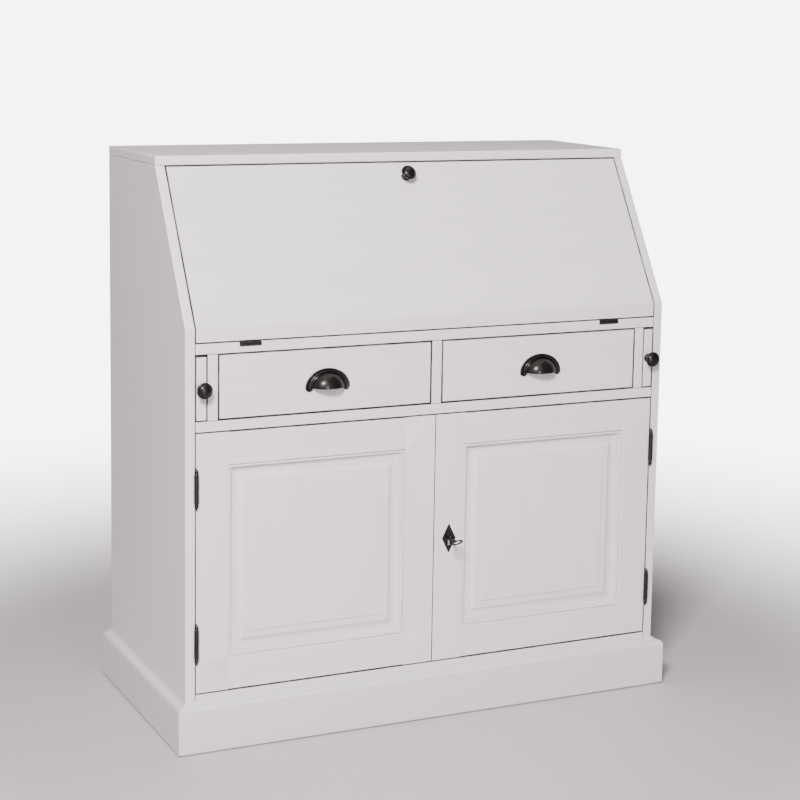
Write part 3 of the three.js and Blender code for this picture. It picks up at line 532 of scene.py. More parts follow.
# %% Cast the metals
def metal(name, dark, light, rubbed, roughness, coat, metallic, pits):
    """A cast metal: two tones of patina, rubbed edges, light scratches and a fine pitted skin."""
    material, tree, shader = new_material(name)
    place = put(tree, "TexCoord").outputs["Object"]
    marks = use_group(tree, patina, {"Vector": place})
    worn = use_group(tree, edge_wear, {"Vector": place, "Scale": 240.0, "From": 0.53, "To": 0.64})
    dust_and_shade = use_group(tree, corner_dust_and_shade, {"Vector": place})["Mask"]

    tone = blend_colour(tree, marks["Clouds"], dark, light)
    tone = blend_colour(tree, scaled(tree, worn["Mask"], 0.0, 0.55), tone, rubbed)
    tone = blend_colour(tree, scaled(tree, marks["Scratches"], 0.0, 0.3), tone, rubbed)
    # Inward corners are darkened for dust and painted shade.
    tone = blend_colour(tree, scaled(tree, dust_and_shade, 0.0, 0.5), tone, dark)
    tree.links.new(tone, shader.inputs["Base Color"])
    shader.inputs["Metallic"].default_value = metallic
    tree.links.new(scaled(tree, marks["Clouds"], *roughness), shader.inputs["Roughness"])
    shader.inputs["Coat Weight"].default_value = coat
    shader.inputs["Coat Roughness"].default_value = 0.12
    bump = put(tree, "Bump", {"Height": marks["Pits"], "Strength": pits, "Distance": 0.1 * MM})
    tree.links.new(bump.outputs["Normal"], shader.inputs["Normal"])
    return material


bronze = metal(
    "blackened_bronze", (0.009, 0.007, 0.007, 1), (0.022, 0.018, 0.017, 1),
    (0.080, 0.058, 0.046, 1), roughness=(0.32, 0.55), coat=0.28, metallic=0.85, pits=0.2)
steel = metal(
    "dull_steel", (0.34, 0.33, 0.315, 1), (0.52, 0.51, 0.49, 1),
    (0.68, 0.67, 0.65, 1), roughness=(0.30, 0.55), coat=0.0, metallic=0.95, pits=0.15)

# %% [markdown]
# ## Felt
#
# A strip of felt on each pull-out support keeps the open flap from being scratched. Felt is a mat
# of short fibres, so it is rough, a little furry and uneven in tone.

# %% Press the felt
FELT_DARK = (0.055, 0.050, 0.046, 1)
FELT_LIGHT = (0.130, 0.120, 0.110, 1)

felt, tree, shader = new_material("grey_felt")
place = put(tree, "TexCoord").outputs["Object"]
fibres = put(tree, "TexNoise", {
    "Vector": place, "Scale": 1500.0, "Detail": 4.0, "Distortion": 1.5}).outputs["Fac"]
mottled = put(tree, "TexNoise", {"Vector": place, "Scale": 160.0, "Detail": 2.0}).outputs["Fac"]
tree.links.new(blend_colour(tree, fibres, FELT_DARK, FELT_LIGHT), shader.inputs["Base Color"])
tree.links.new(scaled(tree, mottled, 0.85, 1.0), shader.inputs["Roughness"])
shader.inputs["Sheen Weight"].default_value = 0.4
bump = put(tree, "Bump", {"Height": fibres, "Strength": 0.6, "Distance": 0.3 * MM})
tree.links.new(bump.outputs["Normal"], shader.inputs["Normal"])

# %% [markdown]
# ## Finishing a piece
#
# Every piece ends the same way. Its bmesh becomes an object, and it gets its finish, its number,
# and smooth shading with the real corners kept sharp. Three more attributes mark where it borders
# on a gap and may take painted shade there, how much painted shade darkens it, as along the
# plinth's top, and where its edges may rub. A Weighted Normal modifier keeps large flat faces flat
# beside their small rounded corners.

# %% Turn a bmesh into a piece of the desk
GOLDEN_SHARE = 0.618034
slot_of = {material.name: "paint" for material in paint.values()}
slot_of.update({material.name: "pine" for material in pine.values()})
slot_of.update({bronze.name: "dark_bronze", steel.name: "lock_steel"})
made = []


def everywhere(place):
    return True


def nowhere(place):
    return False


def finish_piece(name, shape, finish, body, stands_for=(), corner=40, flat=True,
                 in_gap=everywhere, at_seam=nowhere, rubs=everywhere):
    """Links the shape as an object that rides on a body and stands for the named CAD nodes."""
    mesh = bpy.data.meshes.new(name)
    shape.to_mesh(mesh)
    shape.free()
    mesh.materials.append(finish)
    mesh.shade_smooth()
    mesh.set_sharp_from_angle(angle=math.radians(corner))
    number = mesh.attributes.new("board", "FLOAT", "POINT")
    number.data.foreach_set("value", [len(made) * GOLDEN_SHARE % 1] * len(mesh.vertices))
    for layer, amount_at in (("gap", in_gap), ("seam", at_seam), ("rubs", rubs)):
        values = mesh.attributes.new(layer, "FLOAT", "POINT")
        values.data.foreach_set("value", [float(amount_at(vert.co)) for vert in mesh.vertices])
    piece = bpy.data.objects.new(name, mesh)
    scene.collection.objects.link(piece)
    if flat:
        weighted = piece.modifiers.new("flat_faces_stay_flat", "WEIGHTED_NORMAL")
        weighted.keep_sharp = True
    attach(piece, body)
    if stands_for:
        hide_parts(*stands_for)
    made.append(piece)
    return piece


# %% [markdown]
# ## Eased boards
#
# A planed board has sharp corners that would cut the hand and shed their paint, so a maker takes
# them off with sandpaper. The frame's solid already has the board's outline with its notches and
# holes, so a copy of it is merged into clean faces and its corners are bevelled. An inset just
# inside the bevel keeps the edge wear close to the edge.

# %% Copy a solid and ease its corners
CORNER_ANGLE = math.radians(20)
FLAT_ANGLE = math.radians(1)
MOST_CORNERS = 8
SHORTEST_EASED = 2.5 * MM
ON_LINE = 0.05 * MM


def merged_copy(node):
    """The CAD node's shape with its loose triangles joined into whole faces."""
    shape = bmesh.new()
    shape.from_mesh(frame["nodes"][node].data)
    bmesh.ops.remove_doubles(shape, verts=shape.verts, dist=0.01 * MM)
    bmesh.ops.dissolve_limit(
        shape, angle_limit=FLAT_ANGLE, verts=shape.verts[:], edges=shape.edges[:])
    return shape


def every_edge(edge):
    return True


def ease(shape, radius, steps=2, wanted=every_edge):
    """Rounds the wanted real corners, then adds a support line around each plain face."""
    corners = [
        edge for edge in shape.edges
        if edge.is_manifold and edge.calc_face_angle() > CORNER_ANGLE and wanted(edge)
    ]
    bmesh.ops.bevel(
        shape, geom=corners, offset=radius, offset_type="OFFSET", segments=steps, profile=0.5,
        affect="EDGES", clamp_overlap=True, material=-1)
    margin = 2 * radius
    plain = [
        face for face in shape.faces
        if len(face.verts) <= MOST_CORNERS
        and min(edge.calc_length() for edge in face.edges) > 3 * margin
    ]
    bmesh.ops.inset_individual(shape, faces=plain, thickness=margin, depth=0)
    return shape


def outlines(edge, lines):
    """True unless the edge belongs to a notch or a keyhole, where a wide bevel has no room."""
    ends_on_lines = all(
        min(abs(vert.co.x - line) for line in lines) < ON_LINE for vert in edge.verts)
    return ends_on_lines and edge.calc_length() > SHORTEST_EASED


def eased_board(node, finish, radius, wanted=every_edge):
    return finish_piece(node + "_board", ease(merged_copy(node), radius, wanted=wanted), finish,
                        body_of[node], [node])


# %% Ease the carcass, flap, drawer and support boards
THIN_EASE = 1.0 * MM
BOARD_EASE = 2.0 * MM
FREE_EASE = 1.6 * MM

boards = {
    "top_board": (paint["x"], BOARD_EASE),
    "drawer_deck": (paint["x"], THIN_EASE),
    "cupboard_bottom": (paint["x"], THIN_EASE),
    "cupboard_shelf": (paint["x"], BOARD_EASE),
    "writing_board": (paint["x"], THIN_EASE),
    "gallery_shelf": (paint["x"], BOARD_EASE),
    "flap_stop_rail": (paint["x"], THIN_EASE),
    "divider_left": (paint["z"], THIN_EASE),
    "divider_centre": (paint["z"], THIN_EASE),
    "divider_right": (paint["z"], THIN_EASE),
    "flap_panel": (paint["x"], BOARD_EASE),
}
for side in SIDES:
    boards[f"loper_{side}"] = (paint["y"], BOARD_EASE)
    boards[f"drawer_{side}_front"] = (paint["x"], BOARD_EASE)
    boards[f"drawer_{side}_inner_wall"] = (pine["y"], BOARD_EASE)
    boards[f"drawer_{side}_outer_wall"] = (pine["y"], BOARD_EASE)
    boards[f"drawer_{side}_back"] = (pine["x"], BOARD_EASE)
    boards[f"drawer_{side}_bottom"] = (pine["x"], THIN_EASE)

for node, (finish, radius) in boards.items():
    eased_board(node, finish, radius)
for name in SIDES:
    low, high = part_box(f"side_panel_{name}")
    faces_at = (low.x, high.x)
    eased_board(f"side_panel_{name}", paint["z"], FREE_EASE,
                lambda edge: outlines(edge, faces_at))
print(len(boards) + len(SIDES), "boards eased")

# %% [markdown]
# ## The back
#
# The back is a row of narrow boards with a V-shaped groove at each joint, which hides the gaps
# when the wood shrinks. One board is cut by planes at the joints. Bevelling a cut line that lies
# in a flat face turns it into three lines, and pushing the middle one in makes the V.

# %% Groove the back panel
BACK_BOARDS = 9
GROOVE_HALF_WIDTH = 2.5 * MM
GROOVE_DEPTH = 2.0 * MM


def grooved_back():
    low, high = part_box("back_panel")
    shape = merged_copy("back_panel")
    width = (high.x - low.x) / BACK_BOARDS
    joints = [low.x + width * step for step in range(1, BACK_BOARDS)]
    for x in joints:
        bmesh.ops.bisect_plane(
            shape, geom=shape.verts[:] + shape.edges[:] + shape.faces[:],
            plane_co=(x, 0, 0), plane_no=(1, 0, 0))

    def on_joint(edge):
        middle = (edge.verts[0].co + edge.verts[1].co) / 2
        upright = abs(edge.verts[0].co.z - edge.verts[1].co.z) > width
        return upright and any(abs(middle.x - x) < MM for x in joints)

    bmesh.ops.bevel(
        shape, geom=[edge for edge in shape.edges if on_joint(edge)],
        offset=GROOVE_HALF_WIDTH, offset_type="OFFSET", segments=2, profile=0.5,
        affect="EDGES", clamp_overlap=True, material=-1)
    middle_y = (low.y + high.y) / 2
    for edge in [edge for edge in shape.edges if on_joint(edge)]:
        inward = GROOVE_DEPTH if edge.verts[0].co.y < middle_y else -GROOVE_DEPTH
        bmesh.ops.translate(shape, verts=edge.verts[:], vec=(0, inward, 0))
    return shape


finish_piece("back_panel_boards", grooved_back(), paint["z"], "carcass", ["back_panel"], corner=20)
print("the back has", BACK_BOARDS, "boards")

# %% [markdown]
# ## The plinth
#
# Three boards with a moulded top edge wrap the foot of the desk and meet in mitres at the front
# corners. The moulding's outline is drawn once, extruded into a board, and cut at 45 degrees with
# bisect_plane. The side boards are the same outline turned by a quarter. The lowest two
# millimetres stand back, so that the board seems to rest on the floor with a thin shadow.

# %% Draw an outline and extrude it
PLINTH_MOULDING = 14 * MM


def bezier(start, first, second, end, steps):
    """Points along a cubic curve, without its start."""
    points = []
    for step in range(1, steps + 1):
        t = step / steps
        weights = ((1 - t) ** 3, 3 * t * (1 - t) ** 2, 3 * t * t * (1 - t), t ** 3)
        points.append(tuple(
            sum(weight * point[axis] for weight, point in zip(weights, (start, first, second, end)))
            for axis in (0, 1)))
    return points


def outline_face(shape, points):
    """One face from an outline of 3-D points."""
    corners = [shape.verts.new(point) for point in points]
    return shape.faces.new(corners)


def extrude_along(shape, face, vector):
    """Draws a face out into a closed prism."""
    drawn = bmesh.ops.extrude_face_region(shape, geom=[face])["geom"]
    moved = [item for item in drawn if isinstance(item, bmesh.types.BMVert)]
    bmesh.ops.translate(shape, verts=moved, vec=vector)
    bmesh.ops.recalc_face_normals(shape, faces=shape.faces)


def cut_off(shape, place, normal):
    """Cuts away everything on the side that normal points to, and closes the cut."""
    cut = bmesh.ops.bisect_plane(
        shape, geom=shape.verts[:] + shape.edges[:] + shape.faces[:], dist=0.001 * MM,
        plane_co=place, plane_no=normal, clear_outer=True)["geom_cut"]
    rim = [item for item in cut if isinstance(item, bmesh.types.BMEdge)]
    bmesh.ops.contextual_create(shape, geom=rim)


def plinth_outline(thickness, height):
    """Outward distance and height, from the foot of the back round to the top of the back."""
    shoulder = height - PLINTH_MOULDING
    moulding = bezier(
        (thickness, shoulder), (thickness, height - 2 * MM), (3 * MM, shoulder + 4 * MM),
        (1.5 * MM, height), 12)
    foot = [(0, 0), (thickness - 5.0 * MM, 0), (thickness - 4.6 * MM, 2.2 * MM),
            (thickness - 1.0 * MM, 2.7 * MM), (thickness, 3.8 * MM)]
    return foot + [(thickness, shoulder), *moulding, (0, height)]


# %% Where the plinth is painted darker
# The plinth is painted darker along its top, where the moulding meets the carcass, and more
# towards the foot than higher up. Both are painted shade, of that inward corner and of the dimmer
# light near the floor, and they bring the plinth nearer to the darker tone it has on the real desk.
# Both are guesses, and they also bring the plinth nearer to the darker tone it has on the real
# desk.
SEAM_HEIGHT = 2.5 * MM
PLINTH_SHADE_TOP = 0.45
PLINTH_SHADE_FOOT = 0.75


def plinth_shade(place):
    if place.z > front_high.z - SEAM_HEIGHT:
        return 1.0
    return PLINTH_SHADE_FOOT + (PLINTH_SHADE_TOP - PLINTH_SHADE_FOOT) * place.z / front_high.z


# %% Make the three plinth boards
PLINTH_MITRE_GAP = 0.15 * MM
PLINTH_EASE = 0.4 * MM

front_low, front_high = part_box("plinth_front")
plinth_thickness = carcass_front - front_low.y
outline = plinth_outline(plinth_thickness, front_high.z)
corner_x = front_high.x - plinth_thickness

front_board = bmesh.new()
end = outline_face(
    front_board, [(front_low.x, carcass_front - out, height) for out, height in outline])
extrude_along(front_board, end, (front_high.x - front_low.x, 0, 0))
for side in SIDES.values():
    mitre = Vector((side * (corner_x - PLINTH_MITRE_GAP), carcass_front, 0))
    cut_off(front_board, mitre, Vector((side, 1, 0)).normalized())
ease(front_board, PLINTH_EASE, 1)
finish_piece("plinth_front_board", front_board, paint["x"], "carcass", ["plinth_front"], corner=25,
             at_seam=plinth_shade)

for name, side in SIDES.items():
    board = bmesh.new()
    back_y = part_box(f"plinth_{name}")[1].y
    end = outline_face(board, [(side * (corner_x + out), back_y, height) for out, height in outline])
    extrude_along(board, end, (0, front_low.y - back_y, 0))
    mitre = Vector((side * (corner_x + PLINTH_MITRE_GAP), carcass_front, 0))
    cut_off(board, mitre, Vector((-side, -1, 0)).normalized())
    ease(board, PLINTH_EASE, 1)
    finish_piece(
        f"plinth_{name}_board", board, paint["y"], "carcass", [f"plinth_{name}"], corner=25,
        at_seam=plinth_shade)
print("plinth", round(plinth_thickness / MM, 1), "mm thick and", round(front_high.z / MM), "high")

# %% [markdown]
# ## The doors
#
# A framed door is two upright stiles and two rails around a raised panel. The frame's boards are
# the CAD solids with eased corners. Inside them sits a small bead moulding. Its outline is spun
# in four steps of a quarter turn, which makes a square frame with mitred corners, and the four
# corners are then pulled apart to the size of the door's opening.
#
# The panel is a slab whose front is inset again and again: a flat tongue, a hollow slope, a
# narrow ledge, and a step up to the flat field.


# %% A mitred frame from one outline
def mitred_frame(outline, low, high):
    """Carries a closed outline of (inset, depth) points round a rectangle in the x-z plane."""
    shape = bmesh.new()
    reach = 0.1
    points = [shape.verts.new((reach - inset, depth, reach - inset)) for inset, depth in outline]
    edges = [shape.edges.new(pair) for pair in zip(points, points[1:] + points[:1])]
    bmesh.ops.spin(
        shape, geom=points + edges, cent=(0, 0, 0), axis=(0, 1, 0), angle=2 * math.pi, steps=4,
        use_merge=True)
    middle = (low + high) / 2
    half = (high - low) / 2
    quarters = {(x, z): [] for x in (-1, 1) for z in (-1, 1)}
    for vert in shape.verts:
        quarters[1 if vert.co.x > 0 else -1, 1 if vert.co.z > 0 else -1].append(vert)
    for (x, z), corner in quarters.items():
        bmesh.ops.translate(shape, verts=corner, vec=(
            middle.x + x * (half.x - reach), 0, middle.z + z * (half.z - reach)))
    bmesh.ops.recalc_face_normals(shape, faces=shape.faces)
    return shape


# %% The bead's outline
BEAD_WIDTH = 12.6 * MM
BEAD_FOOT = 10.2 * MM
BEAD_MIDDLE = 3.5 * MM
BEAD_RADIUS = 2.5 * MM
BEAD_CROWN = 2.0 * MM
BEAD_TURN = (0.10, 0.80)          # in half turns, from the quirk over the crown
BEAD_STEPS = 7
QUIRK_DEPTHS = (4.6 * MM, 4.4 * MM)


def bead_outline(front_y):
    """A quirk against the frame, a round bead, and a hollow that falls to the panel."""
    points = [(0, BEAD_FOOT), (0, QUIRK_DEPTHS[0]), (BEAD_MIDDLE - BEAD_RADIUS, QUIRK_DEPTHS[1])]
    for step in range(BEAD_STEPS + 1):
        turn = math.pi * (BEAD_TURN[0] + (BEAD_TURN[1] - BEAD_TURN[0]) * step / BEAD_STEPS)
        points.append((BEAD_MIDDLE - BEAD_RADIUS * math.cos(turn),
                       BEAD_CROWN + BEAD_RADIUS * (1 - math.sin(turn))))
    points += bezier(points[-1], (6.2 * MM, 7.2 * MM), (8.4 * MM, 8.6 * MM), (12.0 * MM, 9.2 * MM), 7)
    points += [(BEAD_WIDTH, 9.6 * MM), (BEAD_WIDTH, BEAD_FOOT)]
    return [(inset, front_y + depth) for inset, depth in points]


# %% The raised panel
PANEL_TONGUE = 7 * MM
PANEL_FIELD_INSET = 44 * MM
PANEL_EDGE_DEPTH = 10.5 * MM
PANEL_LEDGE_DEPTH = 5.6 * MM
PANEL_FIELD_DEPTH = 3.5 * MM
HOLLOW_START = 18 * MM            # from the tongue
HOLLOW_END = 31 * MM
HOLLOW_STEPS = 8
HOLLOW_CURVE = 1.7


def panel_steps():
    """(inset from the frame, depth behind the door's front) of each line on the panel."""
    flat_depth = PANEL_EDGE_DEPTH - 0.3 * MM
    hollow = PANEL_TONGUE + HOLLOW_START
    lines = [(PANEL_TONGUE, PANEL_EDGE_DEPTH), (hollow, flat_depth)]
    for step in range(1, HOLLOW_STEPS + 1):
        share = step / HOLLOW_STEPS
        rise = (flat_depth - PANEL_LEDGE_DEPTH) * share ** HOLLOW_CURVE
        lines.append((hollow + (HOLLOW_END - HOLLOW_START) * share, flat_depth - rise))
    field = PANEL_TONGUE + PANEL_FIELD_INSET
    lines += [(field - 0.4 * MM, PANEL_LEDGE_DEPTH - 0.3 * MM),
              (field, PANEL_FIELD_DEPTH + 0.3 * MM), (field + 0.5 * MM, PANEL_FIELD_DEPTH),
              (field + 6 * MM, PANEL_FIELD_DEPTH)]
    return lines


def raised_panel(node, front_y):
    low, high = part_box(node)
    shape = bmesh.new()
    bmesh.ops.create_cube(shape, size=1)
    size = Vector((high.x - low.x, high.y - front_y - PANEL_EDGE_DEPTH, high.z - low.z))
    bmesh.ops.scale(shape, verts=shape.verts, vec=size)
    centre = Vector(((low.x + high.x) / 2, high.y - size.y / 2, (low.z + high.z) / 2))
    bmesh.ops.translate(shape, verts=shape.verts, vec=centre)
    face = min(shape.faces, key=lambda side: side.calc_center_median().y)
    inset, depth = 0, PANEL_EDGE_DEPTH
    for next_inset, next_depth in panel_steps():
        bmesh.ops.inset_region(
            shape, faces=[face], thickness=next_inset - inset, use_even_offset=True)
        bmesh.ops.translate(shape, verts=face.verts[:], vec=(0, next_depth - depth, 0))
        inset, depth = next_inset, next_depth
    return shape


# %% A frame board, eased everywhere but at its joints
# Paint fills the joint between a stile and a rail, so its two edges stay sharp and no line shows.
FRAME_EASE = 1.6 * MM
GAP_REACH = 15 * MM


def frame_board(node, joint_lines, outer_low, outer_high, opening_low, opening_high):
    shape = merged_copy(node)
    for z in (opening_low.z, opening_high.z):
        bmesh.ops.bisect_plane(
            shape, geom=shape.verts[:] + shape.edges[:] + shape.faces[:], dist=0.001 * MM,
            plane_co=(0, 0, z), plane_no=(0, 0, 1))

    def off_joint(edge):
        middle = (edge.verts[0].co + edge.verts[1].co) / 2
        on_line = any(abs(middle.x - x) < ON_LINE for x in joint_lines)
        return not on_line or opening_low.z + MM < middle.z < opening_high.z - MM

    outline_lines = (outer_low.x, outer_high.x, *joint_lines)
    ease(shape, FRAME_EASE, 3, lambda edge: off_joint(edge) and outlines(edge, outline_lines))

    # Edges near the door's outline border the gaps and take their painted shade.
    def borders_gap(place):
        return (place.x < outer_low.x + GAP_REACH or place.x > outer_high.x - GAP_REACH
                or place.z < outer_low.z + GAP_REACH or place.z > outer_high.z - GAP_REACH)

    return shape, borders_gap


# %% Build both doors
for name, side in SIDES.items():
    body = f"door_{name}"
    upper_low, upper_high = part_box(f"{body}_top_rail")
    lower_low, lower_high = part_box(f"{body}_bottom_rail")
    hinge_low, hinge_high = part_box(f"{body}_hinge_stile")
    meeting_low, meeting_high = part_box(f"{body}_meeting_stile")
    outer_low = Vector((min(hinge_low.x, meeting_low.x), 0, hinge_low.z))
    outer_high = Vector((max(hinge_high.x, meeting_high.x), 0, hinge_high.z))
    opening_low = Vector((lower_low.x, 0, lower_high.z))
    opening_high = Vector((upper_high.x, 0, upper_low.z))
    joint_lines = (opening_low.x, opening_high.x)
    for part, finish in (("hinge_stile", paint["z"]), ("meeting_stile", paint["z"]),
                         ("top_rail", paint["x"]), ("bottom_rail", paint["x"])):
        node = f"{body}_{part}"
        shape, borders_gap = frame_board(
            node, joint_lines, outer_low, outer_high, opening_low, opening_high)
        finish_piece(node + "_board", shape, finish, body, [node], in_gap=borders_gap,
                     rubs=nowhere)
    bead = mitred_frame(bead_outline(carcass_front), opening_low, opening_high)
    finish_piece(f"{body}_bead", bead, paint["z"], body, in_gap=nowhere)
    panel = raised_panel(f"{body}_panel", carcass_front)
    finish_piece(f"{body}_raised_panel", panel, paint["z"], body, [f"{body}_panel"], corner=25,
                 in_gap=nowhere)
    print(body, "opening", [round(size / MM, 1) for size in opening_high - opening_low])

# %% [markdown]
# ## Turned hardware
#
# Anything made on a lathe is an outline spun about an axis. The knobs, the hinges' barrels and
# finials, the key's collars and the shelf pegs are all made by one helper. It spins around +Z, and
# a matrix then lays the piece along its real axis.


# %% Spin an outline
def turned(shape, outline, place=Matrix.Identity(4), steps=48):
    """Adds a closed round body. The outline's (radius, height) points start and end on the axis."""
    line = [shape.verts.new((radius, 0, height)) for radius, height in outline]
    edges = [shape.edges.new(pair) for pair in zip(line, line[1:])]
    start = set(shape.verts) - set(line)
    bmesh.ops.spin(
        shape, geom=line + edges, cent=(0, 0, 0), axis=(0, 0, 1), angle=2 * math.pi, steps=steps,
        use_merge=True)
    body = [vert for vert in shape.verts if vert not in start]
    bmesh.ops.remove_doubles(shape, verts=body, dist=0.001 * MM)
    body = [vert for vert in shape.verts if vert not in start]
    faces = {face for vert in body for face in vert.link_faces}
    bmesh.ops.recalc_face_normals(shape, faces=list(faces))
    bmesh.ops.transform(shape, matrix=place, verts=body)


def arc(centre, radius, start, end, steps):
    """Points on a circle from one angle to another, in degrees."""
    angles = [math.radians(start + (end - start) * step / steps) for step in range(steps + 1)]
    return [(centre[0] + radius[0] * math.cos(angle), centre[1] + radius[1] * math.sin(angle))
            for angle in angles]


# %% The knobs
KNOB_RADIUS = 15 * MM
KNOB_HEIGHT = 26 * MM
KNOB_NECK = 5.6 * MM
KNOB_FOOT = 8.5 * MM


def knob_outline():
    """Foot, neck, a thin rim and a shallow dome."""
    foot = [(0, 0), (KNOB_FOOT, 0), *arc((KNOB_FOOT - 0.8 * MM, 1.6 * MM), (0.8 * MM, 0.8 * MM), 0, 90, 4)]
    neck = bezier(foot[-1], (KNOB_NECK, 3 * MM), (KNOB_NECK, 5 * MM), (KNOB_NECK, 9 * MM), 5)
    flare = bezier(neck[-1], (KNOB_NECK, 15 * MM), (8 * MM, 16.6 * MM), (13.6 * MM, 17.2 * MM), 7)
    rim = arc((KNOB_RADIUS - 1.7 * MM, 19 * MM), (1.7 * MM, 1.9 * MM), -70, 90, 8)
    quirk = [(12.7 * MM, 20.6 * MM), (12.2 * MM, 20.7 * MM)]
    dome = bezier(
        (12.0 * MM, 21.0 * MM), (11.2 * MM, 23.6 * MM), (6.6 * MM, KNOB_HEIGHT), (0, KNOB_HEIGHT), 12)
    return foot + neck + flare + rim + quirk + dome


def facing(direction, place):
    """A matrix that lays +Z along a direction and moves the origin to a place."""
    return Matrix.Translation(place) @ direction.to_track_quat("Z", "Y").to_matrix().to_4x4()


def knob(node, foot, direction):
    shape = bmesh.new()
    turned(shape, knob_outline(), facing(direction, foot))
    return finish_piece(node + "_turned", shape, bronze, body_of[node], [node], flat=False)


for name in SIDES:
    low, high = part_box(f"loper_knob_{name}")
    foot = Vector(((low.x + high.x) / 2, high.y, (low.z + high.z) / 2))
    knob(f"loper_knob_{name}", foot, Vector((0, -1, 0)))

# %% The flap's knob stands square to the slope
FLAP_TOP_GAP = 1.5 * MM
FLAP_KNOB_INSET = 32 * MM
KNOB_FOOT_GAP = 0.1 * MM

flap_length = (top_low.z - FLAP_TOP_GAP - kink.z) / math.cos(slope)
knob("flap_knob", kink + up_slope * (flap_length - FLAP_KNOB_INSET) + off_slope * KNOB_FOOT_GAP,
     off_slope)

# %% [markdown]
# ## Cup pulls
#
# A cup pull is a cast shell: a quarter of an egg that opens downwards, on a crescent plate that
# ends in two round tips. The egg is a half circle spun through a quarter turn and scaled. A
# smaller copy inside it gives the wall, and bridge_loops joins the two rims. The plate is a line
# of points spun through half a turn, each ring then scaled to its own ellipse, so that the fine
# bead and grooves follow the plate's edge.

# %% The hood
CUP_HEIGHT = 36 * MM
HOOD_SIZE = Vector((31.5, 24, 28)) * MM
HOOD_WALL = 1.7 * MM
HOOD_STEPS = 28


def boundary(edges):
    return [edge for edge in edges if edge.is_boundary]


def hood():
    shape = bmesh.new()
    lip = [shape.verts.new((math.cos(turn), -math.sin(turn), 0))
           for turn in (math.pi * step / HOOD_STEPS for step in range(HOOD_STEPS + 1))]
    edges = [shape.edges.new(pair) for pair in zip(lip, lip[1:])]
    bmesh.ops.spin(shape, geom=lip + edges, cent=(0, 0, 0), axis=(1, 0, 0),
                   angle=-math.pi / 2, steps=HOOD_STEPS // 2)
    bmesh.ops.remove_doubles(shape, verts=shape.verts, dist=0.001)
    bmesh.ops.recalc_face_normals(shape, faces=shape.faces)
    faces = shape.faces[:]
    if faces[0].normal.dot(faces[0].calc_center_median()) < 0:
        bmesh.ops.reverse_faces(shape, faces=faces)
    inside = bmesh.ops.duplicate(shape, geom=shape.verts[:] + shape.edges[:] + faces)["geom"]
    inner_verts = [item for item in inside if isinstance(item, bmesh.types.BMVert)]
    inner_faces = [item for item in inside if isinstance(item, bmesh.types.BMFace)]
    outer_verts = [vert for vert in shape.verts if vert not in set(inner_verts)]
    bmesh.ops.scale(shape, verts=outer_verts, vec=HOOD_SIZE)
    bmesh.ops.scale(shape, verts=inner_verts, vec=HOOD_SIZE - Vector((1, 1, 1)) * HOOD_WALL)
    bmesh.ops.reverse_faces(shape, faces=inner_faces)
    bmesh.ops.bridge_loops(shape, edges=boundary(shape.edges))
    rim = [edge for edge in shape.edges
           if edge.is_manifold and edge.calc_face_angle() > math.radians(50)
           and max(vert.co.z for vert in edge.verts) < 0.01 * MM]
    bmesh.ops.bevel(shape, geom=rim, offset=0.45 * MM, offset_type="OFFSET", segments=2,
                    profile=0.5, affect="EDGES", clamp_overlap=True, material=-1)
    bmesh.ops.recalc_face_normals(shape, faces=shape.faces)
    return shape


# %% The crescent plate and its tips
TIP_CENTRE = 36.9 * MM
TIP_DROP = 6.0 * MM
PLATE_RINGS = (
    # half width, height and how far the ring stands in front of the drawer, in millimetres
    (29.3, 25.8, 2.2), (31.5, 28.0, 2.2), (32.3, 28.6, 1.4), (33.2, 29.2, 1.5), (34.0, 29.8, 2.4),
    (35.3, 30.6, 2.8), (36.6, 31.5, 2.4), (37.4, 32.0, 1.5), (41.4, 34.3, 1.7), (42.6, 35.0, 2.5),
    (43.7, 35.6, 2.3), (44.5, 36.0, 1.3))
PLATE_STEPS = 48
TIP_STEPS = 8


def crescent_plate():
    shape = bmesh.new()
    line = [shape.verts.new((number, 0, 0)) for number in range(1, len(PLATE_RINGS) + 1)]
    edges = [shape.edges.new(pair) for pair in zip(line, line[1:])]
    bmesh.ops.spin(shape, geom=line + edges, cent=(0, 0, 0), axis=(0, -1, 0),
                   angle=math.pi, steps=PLATE_STEPS)
    forward = {}
    for vert in shape.verts:
        ring = PLATE_RINGS[round(vert.co.length) - 1]
        direction = vert.co.normalized()
        vert.co = (direction.x * ring[0] * MM, 0, direction.z * ring[1] * MM)
        forward[vert] = ring[2] * MM
    ends = [edge for edge in boundary(shape.edges)
            if all(abs(vert.co.z) < 0.01 * MM for vert in edge.verts)]
    row = ends
    for step in range(1, TIP_STEPS + 1):
        turn = math.pi / 2 * step / TIP_STEPS
        before = math.pi / 2 * (step - 1) / TIP_STEPS
        sources = {vert for edge in row for vert in edge.verts}
        heights = {(round(vert.co.x, 7)): forward[vert] for vert in sources}
        drawn = bmesh.ops.extrude_edge_only(shape, edges=row)["geom"]
        row = [item for item in drawn if isinstance(item, bmesh.types.BMEdge)]
        for vert in {vert for edge in row for vert in edge.verts}:
            forward[vert] = heights[round(vert.co.x, 7)]
            middle = math.copysign(TIP_CENTRE, vert.co.x)
            narrow = max(math.cos(turn), 0.02) / math.cos(before)
            vert.co.x = middle + (vert.co.x - middle) * narrow
            vert.co.z = -TIP_DROP * math.sin(turn)
    bmesh.ops.recalc_face_normals(shape, faces=shape.faces)
    back = {tuple(round(part, 7) for part in vert.co): height for vert, height in forward.items()}
    drawn = bmesh.ops.extrude_face_region(shape, geom=shape.faces[:])["geom"]
    for vert in [item for item in drawn if isinstance(item, bmesh.types.BMVert)]:
        vert.co.y = -back[tuple(round(part, 7) for part in vert.co)]
    bmesh.ops.recalc_face_normals(shape, faces=shape.faces)
    return shape


